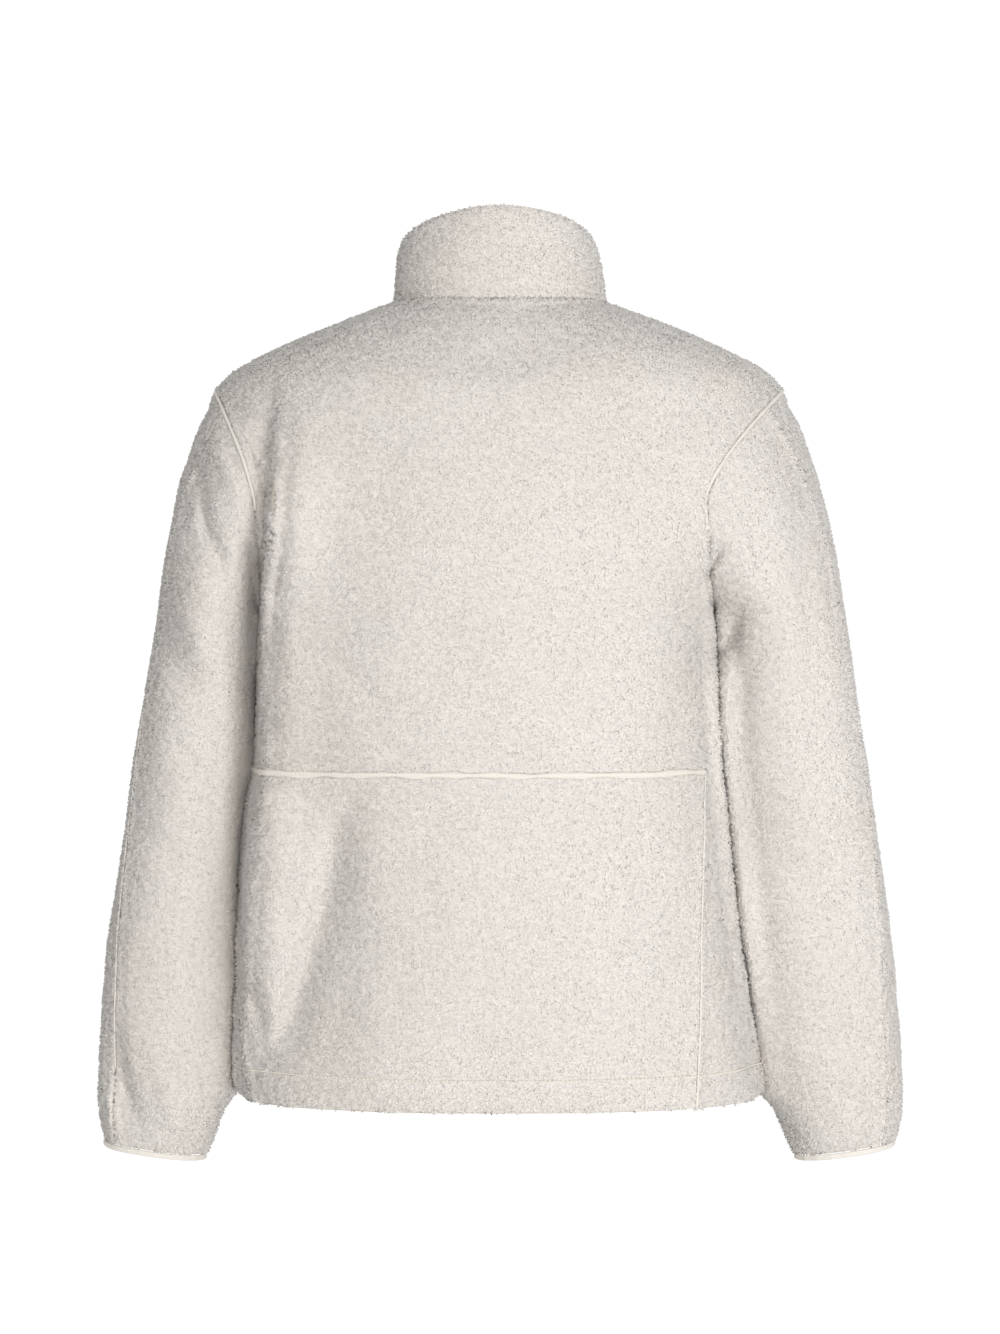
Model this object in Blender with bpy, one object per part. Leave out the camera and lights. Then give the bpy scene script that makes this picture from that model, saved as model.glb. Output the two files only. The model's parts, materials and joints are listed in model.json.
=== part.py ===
"""A fleece zip-up jacket, filled out as when worn, with no wearer inside it.

Metres. +Z is up, +X is the wearer's left, +Y the wearer's back; the zip faces -Y. The origin is the
middle of the neck, level with the points where the shoulder seams meet the collar.

Every cut piece is a wall of its own. The outer faces are worked out first, as grids that share
their edge points, then every wall is given its thickness inwards, along normals that the
neighbours share, and each piece draws back half a seam gap along its edges.
"""

import math

import bmesh
import bpy
import numpy as np

# ---------------------------------------------------------------- driving dimensions
CLOTH = 0.006               # sherpa fleece with its pile
COLLAR_CLOTH = 0.009        # the collar is two layers
SEAM_GAP = 0.0003
SEAM_DIP = 0.0024           # how far the pile sinks into a seam
SHOULDER_DIP = 0.0010
SEAM_EDGE = 0.006           # the width over which it sinks
HEM_DEPTH = 0.027           # the hem is turned up and stitched here
STITCH_DIP = 0.0014
WAIST = 0.268               # waist seam, above the hem
ARMPIT = 0.398              # above the hem
SHOULDER_TIP = 0.5855
NECK = 0.740                # the collar seam, along the same run
COLLAR_STEPS = (0.0, 0.07, 0.28, 0.50, 0.72, 0.88, 0.965, 1.0)
ZIP_HALF_GAP = 0.006        # the front edges stop here on both sides of the zip
LOOP_STEPS = 10             # grid steps from the armpit to the shoulder tip, back and front alike

# Rings of the body, from the hem over the shoulders to the neck. "left" and "right" are half
# widths, "back" and "front" half depths, "square" the power of the oval.
BODY_COLUMNS = ("height", "side_z", "back_z", "front_z", "left", "right", "back", "front", "square")
BODY_RINGS = (
    (0.000, -0.660, -0.660, -0.660, 0.2165, 0.2165, 0.128, 0.122, 2.4),     # hem
    (0.030, -0.628, -0.628, -0.628, 0.2182, 0.2120, 0.131, 0.125, 2.4),
    (0.078, -0.580, -0.580, -0.580, 0.2155, 0.2040, 0.134, 0.128, 2.4),
    (0.158, -0.500, -0.500, -0.500, 0.2130, 0.1925, 0.137, 0.131, 2.4),
    (0.212, -0.446, -0.446, -0.446, 0.2085, 0.1878, 0.138, 0.132, 2.4),
    (0.268, -0.390, -0.390, -0.390, 0.2005, 0.1812, 0.138, 0.133, 2.4),     # waist
    (0.328, -0.330, -0.330, -0.330, 0.1985, 0.1775, 0.142, 0.136, 2.45),
    (0.398, -0.260, -0.260, -0.260, 0.1960, 0.1765, 0.147, 0.140, 2.5),     # armpit
    (0.490, -0.168, -0.170, -0.178, 0.2340, 0.2300, 0.148, 0.137, 2.15),    # shoulder blades
    (0.5855, -0.0725, -0.086, -0.118, 0.2370, 0.2360, 0.131, 0.117, 2.1),   # shoulder tip
    (0.610, -0.0560, -0.066, -0.106, 0.2210, 0.2210, 0.122, 0.111, 2.1),
    (0.670, -0.0250, -0.030, -0.084, 0.1530, 0.1530, 0.099, 0.093, 2.1),
    (0.740, 0.0000, -0.004, -0.064, 0.0885, 0.0885, 0.0765, 0.072, 2.1),    # neck
)

# Where the side seams run, in degrees behind the side of the body.
SEAM_COLUMNS = ("height", "left", "right")
SIDE_SEAMS = (
    (0.000, 15.5, 31.5),
    (0.030, 12.5, 31.0),
    (0.078, 5.0, 29.5),
    (0.158, -2.0, 27.0),
    (0.268, -3.0, 20.5),
    (0.310, -1.5, 10.0),
    (0.345, 0.0, 2.5),
    (0.366, 0.0, 0.0),          # from here up it runs straight into the armpit
    (0.380, 0.0, 0.0),
    (0.398, 0.0, 0.0),
)

# The armholes at half height: how far out and how deep the seam lies behind and in front.
ARMHOLE_MIDDLE_Z = -0.168
ARMHOLES = {
    "left": {"back_x": 0.199, "back_y": 0.098, "front_x": 0.172, "front_y": 0.096},
    "right": {"back_x": 0.165, "back_y": 0.115, "front_x": 0.168, "front_y": 0.098},
}

# Rings of the sleeves below the shoulder cap: "inner" and "outer" are distances from the middle
# of the body, "tilt" is how much higher the outer side is, "half_depth" is front to back.
SLEEVE_COLUMNS = ("z", "tilt", "inner", "outer", "middle_y", "half_depth", "square")
SLEEVE_RINGS = {
    "left": (
        (-0.300, 0.000, 0.1995, 0.2935, -0.010, 0.082, 2.15),
        (-0.360, 0.000, 0.2003, 0.3050, -0.012, 0.076, 2.15),
        (-0.420, 0.001, 0.2078, 0.3135, -0.014, 0.069, 2.15),
        (-0.500, 0.003, 0.2150, 0.3250, -0.017, 0.062, 2.20),
        (-0.577, 0.006, 0.2172, 0.3340, -0.020, 0.057, 2.30),
        (-0.640, 0.009, 0.2236, 0.3390, -0.023, 0.053, 2.35),
        (-0.680, 0.011, 0.2355, 0.3395, -0.025, 0.046, 2.30),
        (-0.7075, 0.012, 0.2462, 0.3350, -0.026, 0.037, 2.20),
    ),
    "right": (
        (-0.300, 0.000, 0.1790, 0.2940, -0.006, 0.084, 2.45),
        (-0.360, 0.000, 0.1790, 0.3040, -0.008, 0.078, 2.45),
        (-0.420, 0.001, 0.1868, 0.3130, -0.011, 0.071, 2.45),
        (-0.500, 0.003, 0.1940, 0.3250, -0.015, 0.064, 2.45),
        (-0.577, 0.006, 0.2055, 0.3340, -0.018, 0.058, 2.40),
        (-0.640, 0.009, 0.2195, 0.3385, -0.022, 0.053, 2.35),
        (-0.680, 0.011, 0.2348, 0.3385, -0.025, 0.046, 2.30),
        (-0.7075, 0.012, 0.2470, 0.3340, -0.026, 0.037, 2.20),
    ),
}
SLEEVE_HEIGHTS = (-0.300, -0.328, -0.358, -0.390, -0.423, -0.456, -0.489, -0.522, -0.555, -0.588,
                  -0.620, -0.648, -0.672, -0.690, -0.7015, -0.7055, -0.7075)
CAP_STEPS = (0.0, 0.03, 0.12, 0.23, 0.36, 0.50, 0.64, 0.78, 0.90)   # from the armhole to there
ELBOW_SEAM = 36.0           # degrees behind the outer side, on the armhole
ELBOW_COLUMNS = ("z", "turn")
ELBOW_TURNS = ((-0.720, 12.0), (-0.590, 9.0), (-0.500, 0.0), (-0.330, -6.0), (-0.100, 0.0))
CUFF_DIP = 0.0014
CUFF_BAND = 0.0045          # height of the stretch binding
CUFF_BAND_CLOTH = 0.0026

# The collar's rim: it rises behind and drops in front.
RIM = {"side": 0.0830, "back": 0.0655, "front": 0.0720,
       "side_z": 0.0435, "back_z": 0.0738, "front_z": 0.0135}

# The largest folds, as the path of each one seen square from behind or from the front. A
# positive depth is a trough and a negative one a ridge; "width" is out to where it has faded.
FOLD_COLUMNS = ("on", "face", "path", "width", "depth")
FOLDS = (
    ("body", "back", ((0.186, -0.112), (0.1845, -0.140), (0.187, -0.190), (0.1930, -0.235)), 0.011, 0.011),
    ("body", "back", ((0.163, -0.125), (0.160, -0.170), (0.166, -0.230), (0.174, -0.330)), 0.026, -0.005),
    ("body", "back", ((0.186, -0.425), (0.184, -0.480), (0.181, -0.535), (0.177, -0.562)), 0.026, -0.007),
    ("body", "back", ((0.1300, -0.425), (0.1400, -0.470), (0.1520, -0.520), (0.1630, -0.560),
                      (0.1730, -0.592)), 0.012, 0.008),
    ("body", "back", ((0.140, -0.500), (0.146, -0.560), (0.158, -0.625)), 0.030, 0.005),
    ("body", "back", ((0.2080, -0.582), (0.1985, -0.605), (0.1970, -0.635)), 0.009, 0.003),
    ("body", "back", ((-0.120, -0.420), (-0.128, -0.520), (-0.136, -0.600)), 0.030, 0.0025),
    ("body", "front", ((0.160, -0.215), (0.120, -0.270), (0.075, -0.330)), 0.022, 0.004),
    ("body", "front", ((-0.158, -0.215), (-0.118, -0.268), (-0.072, -0.335)), 0.022, 0.004),
    ("body", "front", ((0.140, -0.430), (0.132, -0.520), (0.136, -0.610)), 0.030, 0.004),
    ("body", "front", ((-0.128, -0.440), (-0.124, -0.530), (-0.130, -0.610)), 0.030, 0.004),
    ("left", "back", ((0.2500, -0.118), (0.2475, -0.165), (0.2430, -0.200), (0.2300, -0.222)), 0.011, 0.006),
    ("left", "back", ((0.2760, -0.262), (0.2620, -0.300), (0.2500, -0.335)), 0.014, 0.004),
    ("left", "back", ((0.3080, -0.645), (0.3030, -0.672)), 0.026, 0.005),
    ("left", "front", ((0.2300, -0.200), (0.2550, -0.270), (0.2750, -0.330)), 0.018, 0.004),
    ("left", "front", ((0.3150, -0.420), (0.2750, -0.455), (0.2350, -0.470)), 0.018, 0.004),
    ("right", "back", ((-0.2500, -0.125), (-0.2600, -0.240), (-0.2680, -0.400)), 0.016, 0.003),
    ("right", "back", ((-0.1950, -0.262), (-0.1840, -0.285), (-0.1740, -0.305)), 0.012, 0.005),
    ("right", "front", ((-0.2300, -0.205), (-0.2550, -0.275), (-0.2750, -0.335)), 0.018, 0.004),
    ("right", "front", ((-0.3150, -0.425), (-0.2750, -0.460), (-0.2350, -0.475)), 0.018, 0.004),
)
FACE_FADE = 0.020           # a fold fades out over this depth towards the side of the cloth

# Columns across each piece, as shares of its width; the first and last are seam edges.
BACK_SHARES = (0.0, 0.012, 0.045, 0.080, 0.112, 0.145, 0.180, 0.220, 0.270, 0.330, 0.400, 0.470,
               0.540, 0.610, 0.680, 0.745, 0.800, 0.850, 0.900, 0.948, 0.988, 1.0)
FRONT_SHARES = (0.0, 0.022, 0.120, 0.240, 0.360, 0.480, 0.590, 0.690, 0.780, 0.860, 0.930, 0.978, 1.0)
RIGHT_FRONT_SHARES = tuple(1 - share for share in FRONT_SHARES[::-1])

# ---------------------------------------------------------------- zip
TEETH_HALF = 0.0026
TEETH_TOP = 0.0016          # depths under the pile
TEETH_UNDER = 0.0042
TAPE_INNER = TEETH_HALF + SEAM_GAP
TAPE_OUTER = ZIP_HALF_GAP - SEAM_GAP
TAPE_TOP = 0.0030
TAPE_UNDER = 0.0039
SLIDER_HALF = 0.0042
SLIDER_LENGTH = 0.0110
SLIDER_PLATE = 0.0012
SLIDER_POST = 0.0030        # length of the post that holds its two plates together
SLIDER_POST_HALF = 0.0012
SLIDER_BELOW_RIM = 0.0125   # from the rim down to its top
BRIDGE_HALF = 0.0012
BRIDGE_WALL = 0.0009
PIN = 0.0014                # the pull's bar under the bridge, square
PIN_ROOM = 0.0004
PULL_HALF = 0.0035
PULL_LENGTH = 0.0240
PULL_WINDOW = 0.0052
PULL_SIDE = 0.0016
BOX_HALF = 0.0036
BOX_HEIGHT = 0.0090
BOX_DEPTH = 0.0024
BOX_PROUD = 0.0004           # how far it stands out of the pile
STOP_HEIGHT = 0.0032

FLEECE = ("sherpa_fleece", (0.74, 0.68, 0.61), 0.95, 0.0)
BINDING = ("stretch_binding", (0.80, 0.76, 0.70), 0.80, 0.0)
TAPE = ("woven_zip_tape", (0.76, 0.71, 0.64), 0.85, 0.0)
TEETH = ("moulded_zip_teeth", (0.80, 0.76, 0.69), 0.45, 0.0)
METAL = ("nickel_plated_zinc", (0.62, 0.60, 0.57), 0.30, 1.0)


# ---------------------------------------------------------------- reading the tables
def as_columns(names, rows):
    ordered = sorted(rows)
    return {name: np.array([row[i] for row in ordered]) for i, name in enumerate(names)}


def read(table, name, at):
    """A smooth curve through one column of a table, against its first column."""
    keys = next(iter(table.values()))
    values = table[name]
    slopes = np.gradient(values, keys)
    slopes[1:-1] = (values[2:] - values[:-2]) / (keys[2:] - keys[:-2])
    at = np.clip(np.asarray(at, dtype=float), keys[0], keys[-1])
    i = np.clip(np.searchsorted(keys, at, side="right") - 1, 0, len(keys) - 2)
    span = keys[i + 1] - keys[i]
    t = (at - keys[i]) / span
    return ((2 * t**3 - 3 * t**2 + 1) * values[i] + (t**3 - 2 * t**2 + t) * span * slopes[i]
            + (3 * t**2 - 2 * t**3) * values[i + 1] + (t**3 - t**2) * span * slopes[i + 1])


BODY = as_columns(BODY_COLUMNS, BODY_RINGS)
SEAMS = as_columns(SEAM_COLUMNS, SIDE_SEAMS)
ELBOWS = as_columns(ELBOW_COLUMNS, ELBOW_TURNS)
SLEEVES = {side: as_columns(SLEEVE_COLUMNS, rows) for side, rows in SLEEVE_RINGS.items()}


def unit(vectors):
    length = np.linalg.norm(vectors, axis=-1, keepdims=True)
    return vectors / np.maximum(length, 1e-12)


def blend(edge, x):
    x = np.clip(x / edge, 0.0, 1.0)
    return x * x * (3 - 2 * x)


# ---------------------------------------------------------------- the body
def body_surface(angle, height):
    """Points of the body's outer face: angle 0 is the left side, a quarter turn is the back."""
    cos, sin = np.cos(angle), np.sin(angle)
    wide = np.where(cos > 0, read(BODY, "left", height), read(BODY, "right", height))
    deep = np.where(sin > 0, read(BODY, "back", height), read(BODY, "front", height))
    end_z = np.where(sin > 0, read(BODY, "back_z", height), read(BODY, "front_z", height))
    power = read(BODY, "square", height)
    radius = (np.abs(cos / wide) ** power + np.abs(sin / deep) ** power) ** (-1 / power)
    side_z = read(BODY, "side_z", height)
    z = side_z + (end_z - side_z) * sin**2
    return np.stack([radius * cos, radius * sin, z], axis=-1)


def loop_point(side, turn):
    """The armhole seam: turn 0 is the shoulder tip, a quarter turn the back, a half the armpit."""
    armhole = ARMHOLES[side]
    out = 1 if side == "left" else -1
    start = 0.0 if side == "left" else math.pi
    tip = body_surface(np.array(start), np.array(SHOULDER_TIP))
    pit = body_surface(np.array(start), np.array(ARMPIT))
    end = tip if math.cos(turn) > 0 else pit
    face = "back" if math.sin(turn) > 0 else "front"
    middle_x, middle_y = armhole[face + "_x"], armhole[face + "_y"]
    reach = abs(math.cos(turn))
    x = middle_x + (abs(end[0]) - middle_x) * reach**1.35
    z = ARMHOLE_MIDDLE_Z + (end[2] - ARMHOLE_MIDDLE_Z) * reach
    return np.array([out * x, middle_y * math.sin(turn), z])


def loop_normal(side, turn):
    out = 1 if side == "left" else -1
    return unit(np.array([out * 0.15 * (1 + math.cos(turn)), math.sin(turn), math.cos(turn)]))


def spaced(start, end, count):
    return tuple(np.linspace(start, end, count))


LOOP_TURNS = tuple(math.pi * (1 - k / LOOP_STEPS) for k in range(LOOP_STEPS + 1))
LOOP_HEIGHTS = tuple(ARMPIT + loop_point("left", turn)[2] - BODY["side_z"][7] for turn in LOOP_TURNS)
HEM_ROWS = (0.0, 0.004, 0.015, HEM_DEPTH - 0.004, HEM_DEPTH, HEM_DEPTH + 0.004)
SKIRT_ROWS = HEM_ROWS + spaced(HEM_DEPTH + 0.028, WAIST - 0.020, 7) + (WAIST - SEAM_EDGE, WAIST)
RIB_ROWS = (WAIST, WAIST + SEAM_EDGE, WAIST + 0.030, WAIST + 0.055, WAIST + 0.080, WAIST + 0.105,
            ARMPIT - SEAM_EDGE)
YOKE_ROWS = (0.608, 0.632, 0.660, 0.690, 0.718, NECK - SEAM_EDGE, NECK)
BODY_ROWS = SKIRT_ROWS + RIB_ROWS[1:] + LOOP_HEIGHTS + YOKE_ROWS
WAIST_ROW = len(SKIRT_ROWS) - 1
PIT_ROW = WAIST_ROW + len(RIB_ROWS)
TIP_ROW = PIT_ROW + LOOP_STEPS
EVEN_ROWS = (BODY_ROWS[:PIT_ROW - 1] + spaced(ARMPIT - 0.012, SHOULDER_TIP + 0.004, LOOP_STEPS + 2)
             + BODY_ROWS[TIP_ROW + 1:])
EVEN_REACH = 40             # degrees from a side edge to where the rows are evenly spaced


def edge_points(side, face):
    """The side edge of the back or of a front: side seam, armhole, then shoulder seam."""
    start = 0.0 if side == "left" else math.pi
    points = []
    for row, height in enumerate(BODY_ROWS):
        if PIT_ROW < row < TIP_ROW:
            turn = LOOP_TURNS[row - PIT_ROW]
            points.append(loop_point(side, turn if face == "back" else -turn))
            continue
        behind = math.radians(float(read(SEAMS, side, height))) if row < PIT_ROW else 0.0
        angle = start + (behind if side == "left" else -behind)
        points.append(body_surface(np.array(angle), np.array(height)))
    return np.array(points)


def body_panel(first_edge, last_edge, shares):
    """A grid between two edges, each a list of points; it follows the body in between."""
    grid = []
    for row, height in enumerate(BODY_ROWS):
        first, last = first_edge[row], last_edge[row]
        start = math.atan2(first[1], first[0])
        end = math.atan2(last[1], last[0])
        if end < start - 1e-9:
            end += 2 * math.pi
        angles = start + (end - start) * np.array(shares)
        even = math.radians(EVEN_REACH)
        inside = blend(even, angles - start) * blend(even, end - angles)
        points = body_surface(angles, height + (EVEN_ROWS[row] - height) * inside)
        reach = math.radians(34)
        near_first = (1 - np.clip((angles - start) / reach, 0, 1)) ** 2
        near_last = (1 - np.clip((end - angles) / reach, 0, 1)) ** 2
        points += near_first[:, None] * (first - points[0]) + near_last[:, None] * (last - points[-1])
        grid.append(points)
    return np.array(grid)


def zip_edge(side):
    out = 1 if side == "left" else -1
    points = []
    for height in BODY_ROWS:
        deep = float(read(BODY, "front", height))
        angle = -math.pi / 2 + out * math.asin(ZIP_HALF_GAP / deep)
        point = body_surface(np.array(angle), np.array(height))
        points.append((out * ZIP_HALF_GAP, point[1], point[2]))
    return np.array(points)


def body_grids():
    back = body_panel(edge_points("left", "back"), edge_points("right", "back"), BACK_SHARES)
    left = body_panel(zip_edge("left"), edge_points("left", "front"), FRONT_SHARES)
    right = body_panel(edge_points("right", "front"), zip_edge("right"), RIGHT_FRONT_SHARES)
    return {"back": back, "front_left": left, "front_right": right}


# ---------------------------------------------------------------- shared normals
def grid_normals(grids, turned, fixed=None):
    """Normals of several grids, averaged where their points coincide.

    turned holds the names of grids whose rows and columns turn the other way. fixed gives
    normals that are known beforehand, by point.
    """
    sums = {}

    def key(point):
        return tuple(np.round(point, 6))

    for name, grid in grids.items():
        across = grid[1:, 1:] - grid[:-1, :-1]
        along = grid[1:, :-1] - grid[:-1, 1:]
        faces = np.cross(across, along)
        if name in turned:
            faces = -faces
        for i in range(faces.shape[0]):
            for j in range(faces.shape[1]):
                for corner in ((i, j), (i + 1, j), (i, j + 1), (i + 1, j + 1)):
                    spot = key(grid[corner])
                    sums[spot] = sums.get(spot, 0) + faces[i, j]
    for point, normal in (fixed or []):
        sums[key(point)] = normal
    return {name: unit(np.array([[sums[key(point)] for point in row] for row in grid]))
            for name, grid in grids.items()}


def fold_push(points, group):
    """How far the folds of one group push points in (positive) or out, seen from their face."""
    push = np.zeros(points.shape[:-1])
    for fold in FOLDS:
        row = dict(zip(FOLD_COLUMNS, fold))
        if row["on"] != group:
            continue
        path = np.array(row["path"])
        flat = points[..., [0, 2]]
        nearest = np.full(points.shape[:-1], np.inf)
        for a, b in zip(path[:-1], path[1:]):
            t = np.clip(((flat - a) @ (b - a)) / ((b - a) @ (b - a)), 0, 1)
            gap = np.linalg.norm(flat - (a + t[..., None] * (b - a)), axis=-1)
            nearest = np.minimum(nearest, gap)
        facing = points[..., 1] if row["face"] == "back" else -points[..., 1]
        push += row["depth"] * np.exp(-(nearest / row["width"]) ** 2) * blend(FACE_FADE, facing)
    return push


# ---------------------------------------------------------------- the sleeves
UNDER_TURNS = (36, 40.5, 54, 72, 90, 108, 126, 144, 162, 175.5, 180)
TOP_TURNS = (180, 184.5, 198, 216, 234, 252, 270, 288, 306, 324, 342, 360, 378, 391.5, 396)


def sleeve_ring(side, turns, z):
    rings = SLEEVES[side]
    out = 1 if side == "left" else -1
    inner, outer = read(rings, "inner", z), read(rings, "outer", z)
    seam = math.radians(ELBOW_SEAM)
    away = np.angle(np.exp(1j * (turns - seam)))
    turned = turns + np.radians(read(ELBOWS, "turn", z)) * np.exp(-(away / math.radians(45)) ** 2)
    cos, sin = np.cos(turned), np.sin(turned)
    power = read(rings, "square", z)
    radius = (np.abs(cos) ** power + np.abs(sin) ** power) ** (-1 / power)
    x = (inner + outer) / 2 + (outer - inner) / 2 * radius * cos
    y = read(rings, "middle_y", z) + read(rings, "half_depth", z) * radius * sin
    lift = read(rings, "tilt", z) / 2 * radius * cos
    return np.stack([out * x, y, z + lift], axis=-1)


def sleeve_grid(side, turns_degrees, loop):
    """A grid from the armhole down to the cuff; loop gives the armhole's points by degrees."""
    turns = np.radians(turns_degrees)
    out = 1 if side == "left" else -1
    armhole = np.array([loop_between(loop, degrees) for degrees in turns_degrees])
    first = sleeve_ring(side, turns, np.full(len(turns), SLEEVE_HEIGHTS[0]))
    after = sleeve_ring(side, turns, np.full(len(turns), SLEEVE_HEIGHTS[0] - 0.02))
    reach = np.linalg.norm(first - armhole, axis=-1, keepdims=True)
    lean = 0.42 + 0.20 * (1 + np.cos(turns)) / 2 + 0.45 * np.sin(turns) ** 2
    leave = unit(np.stack([out * lean, 0.10 * np.sin(turns), np.full(len(turns), -1.0)], axis=-1))
    arrive = unit(after - first)
    rows = []
    for t in CAP_STEPS:
        rows.append((2 * t**3 - 3 * t**2 + 1) * armhole + (t**3 - 2 * t**2 + t) * reach * leave
                    + (3 * t**2 - 2 * t**3) * first + (t**3 - t**2) * reach * arrive)
    rows += [sleeve_ring(side, turns, np.full(len(turns), z)) for z in SLEEVE_HEIGHTS]
    return np.array(rows)


def loop_between(loop, degrees):
    """A point of the armhole's own polygon, on a corner or straight between two."""
    step = 180 / LOOP_STEPS
    low = math.floor(degrees / step + 1e-9) * step
    share = (degrees - low) / step
    return loop[round(low) % 360] * (1 - share) + loop[round(low + step) % 360] * share


# ---------------------------------------------------------------- walls
def draw_back(points, normals, borders):
    """Moves the border of a grid inwards by half a seam gap, across its own edge.

    Each border is a run of cells with a rough direction to the inside, or None, where the
    neighbouring cells give it. A corner belongs to two borders and moves by both.
    """
    rows, columns = points.shape[:2]
    ways = {}
    for cells, hint in borders:
        line = np.array([points[cell] for cell in cells])
        facing = np.array([normals[cell] for cell in cells])
        tangent = unit(np.gradient(line, axis=0))
        if hint is None:
            along_row = cells[0][0] == cells[-1][0]
            inside = [(min(max(i, 1), rows - 2), j) if along_row else (i, min(max(j, 1), columns - 2))
                      for i, j in cells]
            towards = np.array([points[cell] for cell in inside]) - line
        else:
            towards = np.tile(np.array(hint, dtype=float), (len(cells), 1))
        for direction in (tangent, facing):
            towards = towards - direction * np.sum(towards * direction, axis=-1, keepdims=True)
        across = unit(np.cross(facing, tangent))
        across *= np.sign(np.sum(across * towards, axis=-1, keepdims=True))
        for cell, way in zip(cells, across):
            ways.setdefault(cell, []).append(way)
    moved = points.copy()
    for cell, found in ways.items():
        total = sum(found)
        if len(found) == 2:
            total = total / max(1 + float(found[0] @ found[1]), 0.3)
        moved[cell] += total * SEAM_GAP / 2
    return moved


def four_borders(shape):
    rows, columns = shape
    return [([(0, j) for j in range(columns)], None), ([(rows - 1, j) for j in range(columns)], None),
            ([(i, 0) for i in range(rows)], None), ([(i, columns - 1) for i in range(rows)], None)]


def side_borders(first_row, last_row, column, out):
    """A body piece's side edge, as side seam, armhole and shoulder seam."""
    stretches = ((0, PIT_ROW, None), (PIT_ROW, TIP_ROW, (-out, 0, 0)),
                 (TIP_ROW, len(BODY_ROWS) - 1, None))
    runs = []
    for low, high, hint in stretches:
        low, high = max(low, first_row), min(high, last_row)
        if high > low:
            runs.append(([(i - first_row, column) for i in range(low, high + 1)], hint))
    return runs


def wall(name, points, normals, material, dips, thickness=CLOTH, under_dips=None, borders=None):
    """A closed wall: the outer grid sinks by dips, the inner one lies a thickness under it.

    Each cell is split along its shorter diagonal, so that slanted cells stay smooth.
    """
    rows, columns = points.shape[:2]
    points = draw_back(points, normals, borders or four_borders((rows, columns)))
    under_dips = np.zeros((rows, columns)) if under_dips is None else under_dips
    outer = points - normals * dips[..., None]
    inner = points - normals * (thickness - under_dips)[..., None]
    mesh = bmesh.new()
    skins = [[[mesh.verts.new(p) for p in row] for row in skin] for skin in (outer, inner)]
    for i in range(rows - 1):
        for j in range(columns - 1):
            cells = [(i, j), (i, j + 1), (i + 1, j + 1), (i + 1, j)]
            if math.dist(outer[cells[0]], outer[cells[2]]) > math.dist(outer[cells[1]], outer[cells[3]]):
                cells = cells[1:] + cells[:1]
            for skin, order in zip(skins, (1, -1)):
                corners = [skin[a][b] for a, b in cells]
                mesh.faces.new((corners[0], corners[1], corners[2])[::order])
                mesh.faces.new((corners[0], corners[2], corners[3])[::order])
    border = ([(0, j) for j in range(columns)] + [(i, columns - 1) for i in range(1, rows)]
              + [(rows - 1, j) for j in range(columns - 2, -1, -1)]
              + [(i, 0) for i in range(rows - 2, 0, -1)])
    for (a, b), (c, d) in zip(border, border[1:] + border[:1]):
        mesh.faces.new([skins[1][a][b], skins[1][c][d], skins[0][c][d], skins[0][a][b]])
    finish(name, mesh, material)


def material_of(recipe):
    name, colour, roughness, metallic = recipe
    material = bpy.data.materials.get(name) or bpy.data.materials.new(name)
    material.use_nodes = True
    shader = material.node_tree.nodes["Principled BSDF"]
    shader.inputs["Base Color"].default_value = (*colour, 1.0)
    shader.inputs["Roughness"].default_value = roughness
    shader.inputs["Metallic"].default_value = metallic
    material.diffuse_color = (*colour, 1.0)
    return material


def finish(name, mesh, recipe, at=(0.0, 0.0, 0.0)):
    """Turns a bmesh into a named object with its faces pointing out."""
    bmesh.ops.recalc_face_normals(mesh, faces=mesh.faces)
    data = bpy.data.meshes.new(name)
    mesh.to_mesh(data)
    mesh.free()
    data.materials.append(material_of(recipe))
    item = bpy.data.objects.new(name, data)
    item.location = at
    bpy.context.collection.objects.link(item)
    data.shade_smooth()
    data.set_sharp_from_angle(angle=math.radians(40))
    return item


def seam_dips(shape, first_row=0.0, last_row=0.0, first_column=0.0, last_column=0.0):
    dips = np.zeros(shape)
    dips[0, :] = np.maximum(dips[0, :], first_row)
    dips[-1, :] = np.maximum(dips[-1, :], last_row)
    dips[:, 0] = np.maximum(dips[:, 0], first_column)
    dips[:, -1] = np.maximum(dips[:, -1], last_column)
    return dips


def hem_dips(dips, under):
    """Rounds the lower edge and presses in the stitch line above it."""
    dips[0, :] = SEAM_DIP
    dips[1, :] = np.maximum(dips[1, :], 0.0007)
    under[0, :] = 0.0012
    dips[HEM_ROWS.index(HEM_DEPTH), :] = np.maximum(dips[HEM_ROWS.index(HEM_DEPTH), :], STITCH_DIP)


def side_dips(rows):
    """Down a side edge: the seam is deep on the side and armhole, shallow on the shoulder."""
    dips = np.full(rows, SEAM_DIP)
    dips[TIP_ROW + 1:] = SHOULDER_DIP
    return dips


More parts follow.
